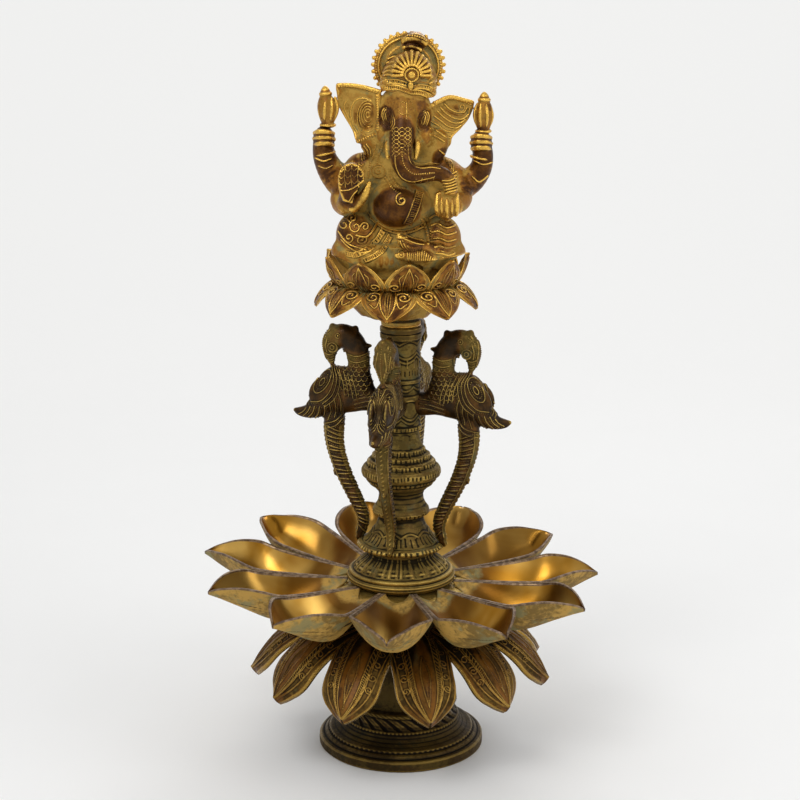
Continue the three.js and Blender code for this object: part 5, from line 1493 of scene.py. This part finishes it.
def sculptLoweredArms(s):
    # open palm on the left, a bowl of sweets on the right
    s.limb([(-27, -4, 60, 9.6), (-34.0, -9, 49.4, 8), (-32.6, -17, 45.8, 6.4), (-31.0, -23, 51, 5.4),
            (-29.6, -25.6, 58, 5.6)], flat=0.9)
    palm = flowing([(-33.6, 50), (-36.0, 57), (-36.4, 64), (-34.6, 69.6), (-30.6, 72.4), (-25.6, 72.2),
                    (-21.8, 68.6), (-20.8, 63.4), (-23.6, 59.2), (-26.4, 54.4), (-28, 48.4)], 40)
    s.plate(palm, 5.0, lambda x, z: -27.4 - 0.06 * (z - 50) + 0 * x, soft=1.6)
    s.limb([(-27.6, -25, 45.6, 3.2), (-24, -27, 49.4, 3.3), (-20.4, -28.4, 54.6, 2.8),
            (-17.8, -29.2, 61.0, 1.2)], soft=0.8)
    s.limb([(32, -4, 60, 9.6), (37, -11, 50, 7.4), (33, -21, 46.6, 6.2)])
    s.egg((28.2, -28.6, 46.8), (7.0, 6.4, 7.8), 0, soft=1.0)
    for k in range(5):
        x = 22.6 + 2.85 * k
        sag = 0.4 * abs(k - 2)
        s.limb([(x + 0.9 - 0.3 * k, -32.4 + sag, 41.8 + sag, 1.7), (x, -35.0 + sag, 46.4, 2.0),
                (x, -34.2 + sag, 51.0, 1.8), (x + 0.2, -32.0, 54.4, 1.4)], soft=0.3)
    for x, y, z in ((24.6, -31, 54.4), (28.4, -32.4, 56.0), (32.2, -31, 54.6)):
        s.egg((x, y, z), (2.6, 2.8, 2.4), 0, soft=0.4)


def sculptFigure():
    s = Sculpture((-56, -43, -1.2), (60, 33, 151), figure["step"] * coarse)
    for make in (sculptLegs, sculptTorso, sculptHead, sculptCrown):
        make(s)
    for arm in raisedArms.values():
        sculptRaisedArm(s, **arm)
    sculptLoweredArms(s)
    points, faces = s.mesh()
    points = ease(points, faces, 1)
    points, faces = refine(points, faces)
    points = ease(points, faces, 1)
    return points, faces, s.form(points)


def rope(points, width=1.5, height=0.8, pitch=1.5):
    return flowing(points, 40), width, height, pitch


def thread(points, width=0.95, height=0.6):
    return flowing(points, 30), width, height


def ladder(first, second, rungs):
    # two threads with short bars between them
    first, second = flowing(first, 40), flowing(second, 40)
    pick = np.linspace(1, 38, rungs).astype(int)
    bars = [(np.stack([first[k], second[k]]), 0.8, 0.55) for k in pick]
    return [(first, 0.9, 0.7), (second, 0.9, 0.7)] + bars


def bellyLines():
    lines = ladder([(10.2, 55.6), (8.4, 50), (5.6, 42.6), (2.8, 36.2)],
                   [(14.2, 54.2), (12.6, 48.4), (9.8, 41.4), (6.8, 34.8)], 17)
    lines += ladder([(-18.8, 40.4), (-13, 35.6), (-7.2, 32.6), (0, 31.2), (7, 32.0), (14, 34.8)],
                    [(-17.6, 37.6), (-12, 33.2), (-6.6, 30.4), (0, 29.0), (7.4, 29.8), (15, 32.6)], 30)
    lines += [rope([(-8.4, 62), (-5.2, 58.4), (-1.6, 55.4), (1.4, 54.6)], 1.4, 0.7, 1.3),
              rope([(-5.4, 63.4), (-2.6, 59.8), (0.6, 57.6), (3.4, 57.4)], 1.4, 0.7, 1.3),
              (spiral(1.4, 50.6, 3.9, 1.1, 100, 1, 40), 1.1, 0.9), (ring(1.4, 50.4, 1.5), 0.9, 0.7),
              (ring(-12.6, 66.0, 4.1), 0.8, 0.32), (spiral(-12.6, 66.0, 2.8, 1.2, 60, 1), 0.8, 0.32),
              rope([(-9.4, 86), (-10.6, 80), (-12.8, 74), (-13.4, 70.6)], 1.1, 0.45, 1.3),
              rope([(-14.4, 82), (-15.4, 76), (-17.6, 70), (-19, 62)], 1.1, 0.45, 1.3)]
    for k in range(5):  # armlets
        lines.append(thread([(-25.6 + 1.5 * k, 78.6 + 0.9 * k), (-23.4 + 1.5 * k, 75.6 + 0.9 * k),
                             (-22.4 + 1.3 * k, 71.8 + 0.9 * k)], 1.0, 0.65))
        lines.append(thread([(24 + 1.4 * k, 78.8 - 1.4 * k), (27.4 + 1.2 * k, 75.8 - 1.5 * k),
                             (28.6 + 1.0 * k, 71.4 - 1.4 * k)], 1.0, 0.6))
    return lines


def headLines():
    lines = [rope([(1.5, 82.6), (2.0, 75.6), (4.2, 70.6), (8.6, 67.6), (15, 67.6), (20.4, 68.0)],
                  1.1, 0.5, 1.3),
             thread([(-2.4, 78), (-1.8, 71.4), (1.6, 65.2), (7.6, 62.8), (14.5, 64.2), (20.4, 65.4)],
                    0.8, 0.45),
             thread([(4.9, 84), (5.4, 77), (7.4, 72.8), (12.4, 70.6), (19, 71.0), (24, 70.2)], 0.8, 0.5)]
    for k in range(7):  # net on the upper part of the trunk
        z = 92.6 - 2.3 * k
        lines.append(thread([(-4.2, z + 1.6), (-1.6, z - 1.2), (1.6, z + 1.4), (4.8, z - 1.0),
                             (7.0, z + 1.0)], 0.62, 0.36))
        lines.append(thread([(-4.2, z - 1.0), (-1.6, z + 1.4), (1.6, z - 1.2), (4.8, z + 1.4),
                             (7.0, z - 0.8)], 0.62, 0.36))
    for k in range(5):  # folds at the trunk's end
        lines.append(thread([(25.6 + 0.5 * k, 63.6 - 2.0 * k), (29.6, 63.4 - 1.7 * k),
                             (34.4, 65.4 - 1.9 * k)], 1.2, 0.8))
    for k in range(4):
        lines.append(thread([(9 + 3.6 * k, 61.6 + 0.5 * k), (10 + 3.6 * k, 64.6 + 0.5 * k)], 0.6, 0.3))
    # brow mark
    lines += [thread([(4.3, 108.4), (4.4, 103.6), (4.3, 98.6)], 0.8, 0.45)]
    for side in (-1, 1):
        x = 4.3
        lines += [thread([(x + side * 1.0, 107.6), (x + side * 2.9, 108.4), (x + side * 3.2, 106),
                          (x + side * 1.8, 105.0)], 0.6, 0.4),
                  thread([(x + side * 0.4, 102.0), (x + side * 2.2, 101.2), (x + side * 4.0, 102.4),
                          (x + side * 4.2, 104.6)], 0.6, 0.4)]
    # eyes: lids and the fine lines round them
    for x, z, mirror in ((-7.0, 99.0, 1), (14.4, 97.4, -1)):
        for k in range(4):  # almond lids, one inside the other
            w, h = 1.0 + 1.15 * k, 3.2 + 1.45 * k
            lean = mirror * 0.26
            for bow in (-1, 1):
                half = ((h, 0), (h * 0.5, 0.8), (0, 1), (-h * 0.5, 0.8), (-h, 0))
                lid = [(x + bow * w * q * 0.9 - lean * p, z + p) for p, q in half]
                lines.append(thread(lid, 0.6, 0.4))
    return lines


def earLines():
    lines = [rope([(-13.6, 111), (-13.0, 100), (-13.4, 90.6)], 1.9, 0.6, 1.4),
             rope([(-14.6, 88.6), (-19, 86.4), (-24.8, 83.8)], 1.9, 0.6, 1.5),
             rope([(-14, 112.8), (-21.4, 114.6), (-30, 115.8), (-36.4, 115.8)], 1.2, 0.5, 1.5),
             rope([(18.4, 102.8), (24, 106.4), (30.6, 108.9), (38.6, 107.1), (43, 105.2)], 1.2, 0.5, 1.5)]
    for k in range(5):  # nested ovals in the left ear
        r = 1.2 + 1.55 * k
        a = np.radians(np.linspace(40 + 9 * k, 325 - 4 * k, 34))
        lines.append((np.stack([-19.0 + r * 0.86 * np.cos(a), 99.4 + r * 1.4 * np.sin(a) - 0.5 * k], 1),
                      0.75, 0.42))
    lines += [thread([(-16.6, 107.6), (-22, 109.2), (-27, 107), (-29.4, 101), (-28.2, 94), (-25.4, 88.4)],
                     0.8, 0.45),
              thread([(-31.6, 108), (-33.4, 104), (-31.4, 99), (-29.6, 95.4)], 0.7, 0.35)]
    flow = [[(27.1, 105.8), (30.6, 102.4), (35, 100.6), (39.0, 100.6), (40.9, 103.4)],
            [(24.6, 103.8), (28.5, 99.8), (33.4, 97.0), (38.0, 96.6), (41.6, 99.0), (42.6, 102.6)],
            [(22.6, 101.8), (27.2, 97.4), (31.8, 94.6), (36.6, 94.2), (40, 96.2)],
            [(20.6, 99.0), (25.4, 95.4), (29.6, 92.2), (34.6, 91.2), (37.4, 92.6)],
            [(19.2, 95.6), (23.4, 93.0), (27.6, 89.8), (32.6, 88.6)],
            [(18.6, 92.2), (22.8, 90.0), (27.2, 86.8), (31.2, 85.4)],
            [(18.2, 88.6), (22.6, 86.6), (27, 83.8)]]
    lines += [thread(points, 0.95, 0.6) for points in flow]
    lines.append((spiral(37.6, 103.6, 2.6, 1.0, -120, 1), 0.8, 0.5))
    return lines


def crownLines():
    lines = ladder([(-11.4, 118.6), (-7.3, 120.6), (-1.9, 121.2), (4.6, 119.6)],
                   [(-11.2, 116.4), (-7.3, 118.2), (-1.9, 118.8), (4.2, 117.4)], 17)
    lines += ladder([(8.8, 117.6), (12, 118.2), (17.2, 117.2), (22, 113.8)],
                    [(9, 115.4), (12.2, 116.0), (17, 114.8), (21.4, 111.2)], 14)
    lines += ladder([(-11.9, 115.2), (-8.3, 117.0), (-1.9, 117.8), (4, 116.2), (6.4, 115.2), (12, 114.8),
                     (17.8, 112.4), (22.4, 108.8)],
                    [(-12.0, 112.8), (-8.3, 114.6), (-1.9, 115.4), (3.8, 113.9), (6.4, 112.8), (12, 112.4),
                     (17.4, 109.8), (21.4, 106.4)], 40)
    for k in range(5):  # folded cloth at the crown's sides
        lines.append(thread([(-11.0 + 1.1 * k, 121.4 + 2.6 * k), (-7.6 + 1.1 * k, 123.6 + 2.4 * k),
                             (-4.4 + 0.9 * k, 123.4 + 2.4 * k)], 1.3, 0.7))
        lines.append(thread([(18 - 0.4 * k, 118.4 + 2.4 * k), (20.4 - 0.7 * k, 120 + 2.5 * k)], 1.2, 0.6))
    mx, mz = figure["medalX"], figure["medalZ"]
    for k in range(figure["rays"]):
        a = math.radians(-4 + 188 * k / (figure["rays"] - 1))
        c, d = math.cos(a), math.sin(a)
        ray = [(mx + r * c, mz + r * d) for r in (5.4, 9, 12.4 - 1.4 * abs(c))]
        lines.append((flowing(ray, 12), 1.7, 0.9))
    lines.append((ring(mx, mz, 4.0), 0.9, 0.5))
    a = np.radians(np.linspace(-128, 128, 60))
    lines.append((np.stack([figure["haloX"] + 19.6 * np.sin(a), figure["haloZ"] + 18.8 * np.cos(a)], 1),
                  1.0, 0.6, 1.5))
    return lines


def legLines():
    lines = []
    for x, z, r, start, hand in ((-33.4, 34.4, 3.9, 20, 1), (-28.4, 38.2, 3.0, 200, -1),
                                 (-26.4, 33.4, 4.0, 100, 1), (-20.8, 33.4, 2.7, 180, -1),
                                 (-23.0, 26.0, 3.4, 30, -1), (-30.4, 27.0, 3.3, 200, 1)):
        lines.append((spiral(x, z, r, 1.25, start, hand, 36), 1.05, 0.65))
    lines += [thread([(-36.6, 30), (-33, 25.4), (-28, 22), (-20.6, 20.6)], 1.2, 0.8),
              thread([(-35, 25.6), (-30.6, 21.2), (-24, 18.8), (-17, 20)], 1.1, 0.7),
              thread([(-26, 28.6), (-20, 27.6), (-15.6, 31.6), (-13, 36)], 1.4, 0.9)]
    lines += ladder([(-10.6, 31.4), (-14.4, 26.0), (-20.2, 21.6), (-27, 18.4), (-32, 18.6)],
                    [(-8.8, 29.4), (-12.6, 24.0), (-18.6, 19.4), (-25.6, 16.2), (-31.4, 16.2)], 24)
    lines += ladder([(-6.4, 28.4), (-10.0, 22.6), (-15.4, 18.4), (-21.6, 15.4)],
                    [(-4.6, 26.6), (-8.4, 20.6), (-14, 16.4), (-20.4, 13.4)], 18)
    for k in range(6):  # folds over the right knee
        lines.append(thread([(18.4 + 0.7 * k, 37.4 - 3.7 * k), (22.6 + 0.6 * k, 39.0 - 4.1 * k),
                             (28.4 + 0.2 * k, 36.6 - 3.9 * k), (34.4 - 0.2 * k, 37.6 - 4.0 * k)], 1.3,
                            0.65))
        lines.append(thread([(22 + 0.8 * k, 34.8 - 3.7 * k), (27, 33.6 - 3.6 * k)], 0.8, 0.4))
    lines += [rope([(13.6, 38), (16.2, 31.4), (17.4, 25)], 1.6, 0.7, 1.5),
              rope([(15.8, 39), (18.4, 32), (19.4, 26)], 1.2, 0.6, 1.5)]
    # foot and mouse
    for k in range(4):
        lines.append(thread([(0.4 + 2.2 * k, 27.2 - 1.3 * k), (1.6 + 2.3 * k, 24.6 - 1.1 * k),
                             (3.0 + 2.3 * k, 22.4 - 0.7 * k)], 0.7, 0.45))
    lines.append(thread([(0.4, 29.8), (5, 27.6), (10, 25.6), (14.6, 24.6)], 0.9, 0.6))
    for k in range(13):
        t = k / 12
        top = (4.6 + 15.4 * t, 20.8 + 1.8 * math.sin(math.pi * min(t, 0.7)) - 5.6 * max(0, t - 0.55) * 2)
        lines.append(thread([top, (5.6 + 12.6 * t, 14.6 - 1.8 * t)], 0.8, 0.6))
    lines.append((ring(1.2, 19.2, 1.6), 0.6, 0.45))
    # palm: fingers side by side with curved joints
    for x in (-32.4, -28.6, -24.6):
        lines.append(thread([(x + 0.4, 58.6), (x - 0.3, 65), (x + 0.4, 71)], 0.9, 0.55))
    for k in range(4):
        for j in range(3):
            x, z = -34.6 + 3.9 * k, 68.2 - 3.9 * j + 0.35 * k
            lines.append(thread([(x - 1.4, z + 0.9), (x, z - 0.5), (x + 1.5, z + 0.9)], 0.85, 0.5))
    lines += [thread([(-35, 56.4), (-30, 57.0), (-25, 59.6), (-22, 62)], 1.0, 0.65),
              thread([(-30, 50), (-27.6, 54), (-25, 56.6)], 1.0, 0.5)]
    # arms: cuffs and a fold at each elbow
    lines += [thread([(-50.6, 73.4), (-46, 71.6), (-41.6, 72.8)], 1.3, 0.8),
              thread([(-49, 68.6), (-44.6, 67.2), (-40.6, 68.8)], 0.9, 0.5),
              thread([(45.6, 71.6), (50.6, 69.6), (56, 70.6)], 1.2, 0.7),
              thread([(44.4, 62), (48.4, 59), (53.6, 62.4)], 1.2, 0.7)]
    return lines


# where the patina is rubbed through to brown metal, and on the forehead partly a painted highlight: x,
# height, half width, half height, how far, and where it starts in depth
rubbedAndHighlightPlaces = [(-1.5, 45.4, 16, 13.2, 1.0, -14), (3.2, 105, 15, 11, 0.30, -6), (1.8, 86, 9, 17, 0.8, -18),
                (-7.4, 98.4, 6, 8.5, 0.75, -4), (14.8, 97, 5, 7.5, 0.6, -4), (13, 68, 20, 10, 0.8, -22),
                (-29, 60, 12, 17, 0.75, -20), (28, 47, 10, 12, 0.26, -24), (-46, 78, 9, 20, 0.66, 20),
                (50, 76, 9, 20, 0.66, 20), (-38, 60, 9, 9, 0.5, 20), (44, 58, 8, 7, 0.5, 20),
                (-28, 30, 14, 12, 0.46, -12), (6, 25, 11, 6.5, 0.55, -30), (10, 17, 12, 7, 0.4, -33),
                (9, 142, 8.4, 6, 1.2, 20), (-24, 76, 7, 7, 0.6, -4), (27, 73, 8, 8, 0.6, -4),
                (7.3, 128, 14, 10, 0.38, -6), (27, 28, 11, 11, 0.42, -12), (-43, 103, 7, 12, 0.3, 20),
                (51, 100, 7, 12, 0.3, 20), (-20, 99, 8, 10, 0.34, -1), (33, 98, 9, 8, 0.24, -1),
                (0, 62, 20, 6, 0.25, -16)]


def rubbedAndHighlightMask(points):
    x, y, z = points.T
    mask = np.zeros(len(points))
    for cx, cz, halfWidth, halfHeight, share, depth in rubbedAndHighlightPlaces:
        away = np.hypot((x - cx) / halfWidth, (z - cz) / halfHeight)
        mask = np.maximum(mask, share * smoothStep(1.1, 0.7, away) * smoothStep(depth, depth - 5, y))
    return mask


def backLines():
    # cords and the shawl's folds on the back
    lines = [rope([(-30, 60 - 2 * k), (-12, 55 - 2.4 * k), (6, 54.6 - 2.4 * k), (30, 59 - 2 * k)],
                  1.5, 0.7, 1.8) for k in range(2)]
    lines += [thread([(-24 + 6 * k, 78 - abs(k - 3.5)), (-16 + 4.4 * k, 68), (-10 + 2.8 * k, 57)], 1.5, 0.7)
              for k in range(8)]
    lines += [thread([(-28 + 8 * k, 48), (-26 + 7.4 * k, 34), (-30 + 8.6 * k, 14)], 1.6, 0.7)
              for k in range(8)]
    return lines + [rope([(-30, 10), (-10, 7.4), (10, 7.4), (30, 10)], 1.6, 0.7, 1.8)]


def makeFigure():
    points, faces, form = sculptFigure()
    normals = vertexNormals(points, faces)
    facing = smoothStep(0.1, 0.45, -normals[:, 1])
    lines = bellyLines() + headLines() + earLines() + crownLines() + legLines()
    rise = threads(points[:, [0, 2]], lines) * facing
    behind = threads(points[:, [0, 2]], backLines()) * smoothStep(0.2, 0.6, normals[:, 1])
    rise = rise + behind * smoothStep(0, 6, points[:, 1])
    points = points + normals * rise[:, None]
    # the base fits inside the seat's upper petals
    bowl = curveThrough((0, figure["socket"]), (3, 31.8), (13, 38.6), (15.6, 42.0))
    x, y, z = points.T
    offset = seat["shift"] - figure["shift"]
    pull = np.minimum(1, np.where(z < 15.6, bowl(z), 200) / (np.hypot(x - offset, y) + 1e-9))
    points = np.stack([(x - offset) * pull + offset, y * pull, np.clip(z, 0.1, figure["top"])], 1)
    makeMesh("ganeshaDressed", points + [figure["shift"], 0, figure["baseZ"]], faces, "top",
             skin["goldPatina"], ["ganesha_figure"], rubbedAndHighlightMask(points), rise / 0.9, form)
    print("figure made", len(points))


makeFigure()


addShelter([piece for piece in bpy.data.objects if piece.type == "MESH"
            and "wear" in piece.data.attributes])
print("shelter found")


# Floor, light, camera

studio = {
    "floorDark": (0.90, 0.90, 0.895), "floorPale": (0.93, 0.93, 0.925), "farWhite": (0.88, 0.88, 0.87),
    "seenBehind": (0.93, 0.93, 0.935, 1), "worldStrength": 0.62,
    "lamps": {
        "key": dict(place=(-0.55, -1.0, 1.55), target=(0, 0, 0.25), size=(0.8, 0.8), power=9.0),
        "fill": dict(place=(1.2, -0.7, 0.9), target=(0, 0, 0.25), size=(0.8, 1.0), power=4.5),
        "rim": dict(place=(0.3, 1.2, 1.2), target=(0, 0, 0.3), size=(1.0, 0.6), power=5.0),
    },
    # fitted to the photograph: focal length, frame and shift in its pixels, metres, degrees below level
    "focal": 1900, "frame": 800, "shift": -1, "sensor": 36, "camera": (0, -1.161, 0.5099), "down": 13.6,
}


def makeFloor():
    # flat in front, then curved up behind
    n = 60
    t = np.linspace(0, 1, n)
    y = np.where(t < 0.5, -1.4 + 4.6 * t, 0.9 + 0.9 * np.sin((t - 0.5) * math.pi))
    z = np.where(t < 0.5, 0, 2.6 * (1 - np.cos((t - 0.5) * math.pi)))
    rows = np.stack([np.stack([np.full(n, x), y, z], 1) for x in (-4, 4)], 1)
    data = bpy.data.meshes.new("floor")
    faces = [(2 * i, 2 * i + 1, 2 * i + 3, 2 * i + 2) for i in range(n - 1)]
    data.from_pydata([tuple(v) for v in rows.reshape(-1, 3)], [], faces)
    data.shade_smooth()
    paint = Paint("paleFloor")
    grain = paint.noise(6, 2)
    paint.set(Base_Color=paint.mix(grain, studio["floorDark"], studio["floorPale"]), Roughness=0.75,
              Specular_IOR_Level=0.15)
    # farther back the camera sees a plain near-white
    place = paint.add("ShaderNodeSeparateXYZ", {}, {0: paint.add("ShaderNodeNewGeometry")}, output=1)
    seen = paint.range(place, 0.05, 1.6, 0.0, 0.94) * paint.add("ShaderNodeLightPath")
    white = paint.add("ShaderNodeEmission", {}, {"Color": studio["farWhite"], "Strength": 1.0})
    shaded = Value(paint, paint.shader.outputs[0])
    blend = paint.add("ShaderNodeMixShader", {}, {0: seen, 1: shaded, 2: white})
    paint.tree.links.new(blend.socket, paint.tree.nodes["Material Output"].inputs[0])
    floor = bpy.data.objects.new("floor", data)
    bpy.context.scene.collection.objects.link(floor)
    data.materials.append(paint.material)


def addLamp(name, place, target, size, power):
    data = bpy.data.lights.new(name, "AREA")
    data.shape = "RECTANGLE"
    data.size, data.size_y = size
    data.energy = power
    lamp = bpy.data.objects.new(name, data)
    lamp.location = place
    x, y, z = np.array(target, float) - np.array(place, float)
    lamp.rotation_euler = (math.atan2(math.hypot(x, y), -z), 0, math.atan2(y, x) - math.pi / 2)
    bpy.context.scene.collection.objects.link(lamp)


def makeWorld():
    world = bpy.data.worlds.new("studio")
    bpy.context.scene.world = world
    world.use_nodes = True
    nodes, links = world.node_tree.nodes, world.node_tree.links
    back = nodes["Background"]
    path = nodes.new("ShaderNodeLightPath")
    mix = nodes.new("ShaderNodeMixShader")
    white = nodes.new("ShaderNodeBackground")
    white.inputs[0].default_value = studio["seenBehind"]
    white.inputs[1].default_value = 1.0
    back.inputs[0].default_value = (1, 1, 1, 1)
    back.inputs[1].default_value = studio["worldStrength"]
    links.new(path.outputs["Is Camera Ray"], mix.inputs[0])
    links.new(back.outputs[0], mix.inputs[1])
    links.new(white.outputs[0], mix.inputs[2])
    links.new(mix.outputs[0], nodes["World Output"].inputs[0])


def makeCamera():
    data = bpy.data.cameras.new("camera")
    data.sensor_fit = "HORIZONTAL"
    data.sensor_width = studio["sensor"]
    data.lens = studio["sensor"] * studio["focal"] / studio["frame"]
    data.shift_x = studio["shift"] / studio["frame"]
    camera = bpy.data.objects.new("camera", data)
    camera.location = studio["camera"]
    camera.rotation_euler = (math.radians(90 - studio["down"]), 0, 0)
    bpy.context.scene.collection.objects.link(camera)
    bpy.context.scene.camera = camera


makeFloor()
makeWorld()
for name, lamp in studio["lamps"].items():
    addLamp(name, **lamp)
makeCamera()
bpy.context.scene.view_settings.view_transform = "Standard"
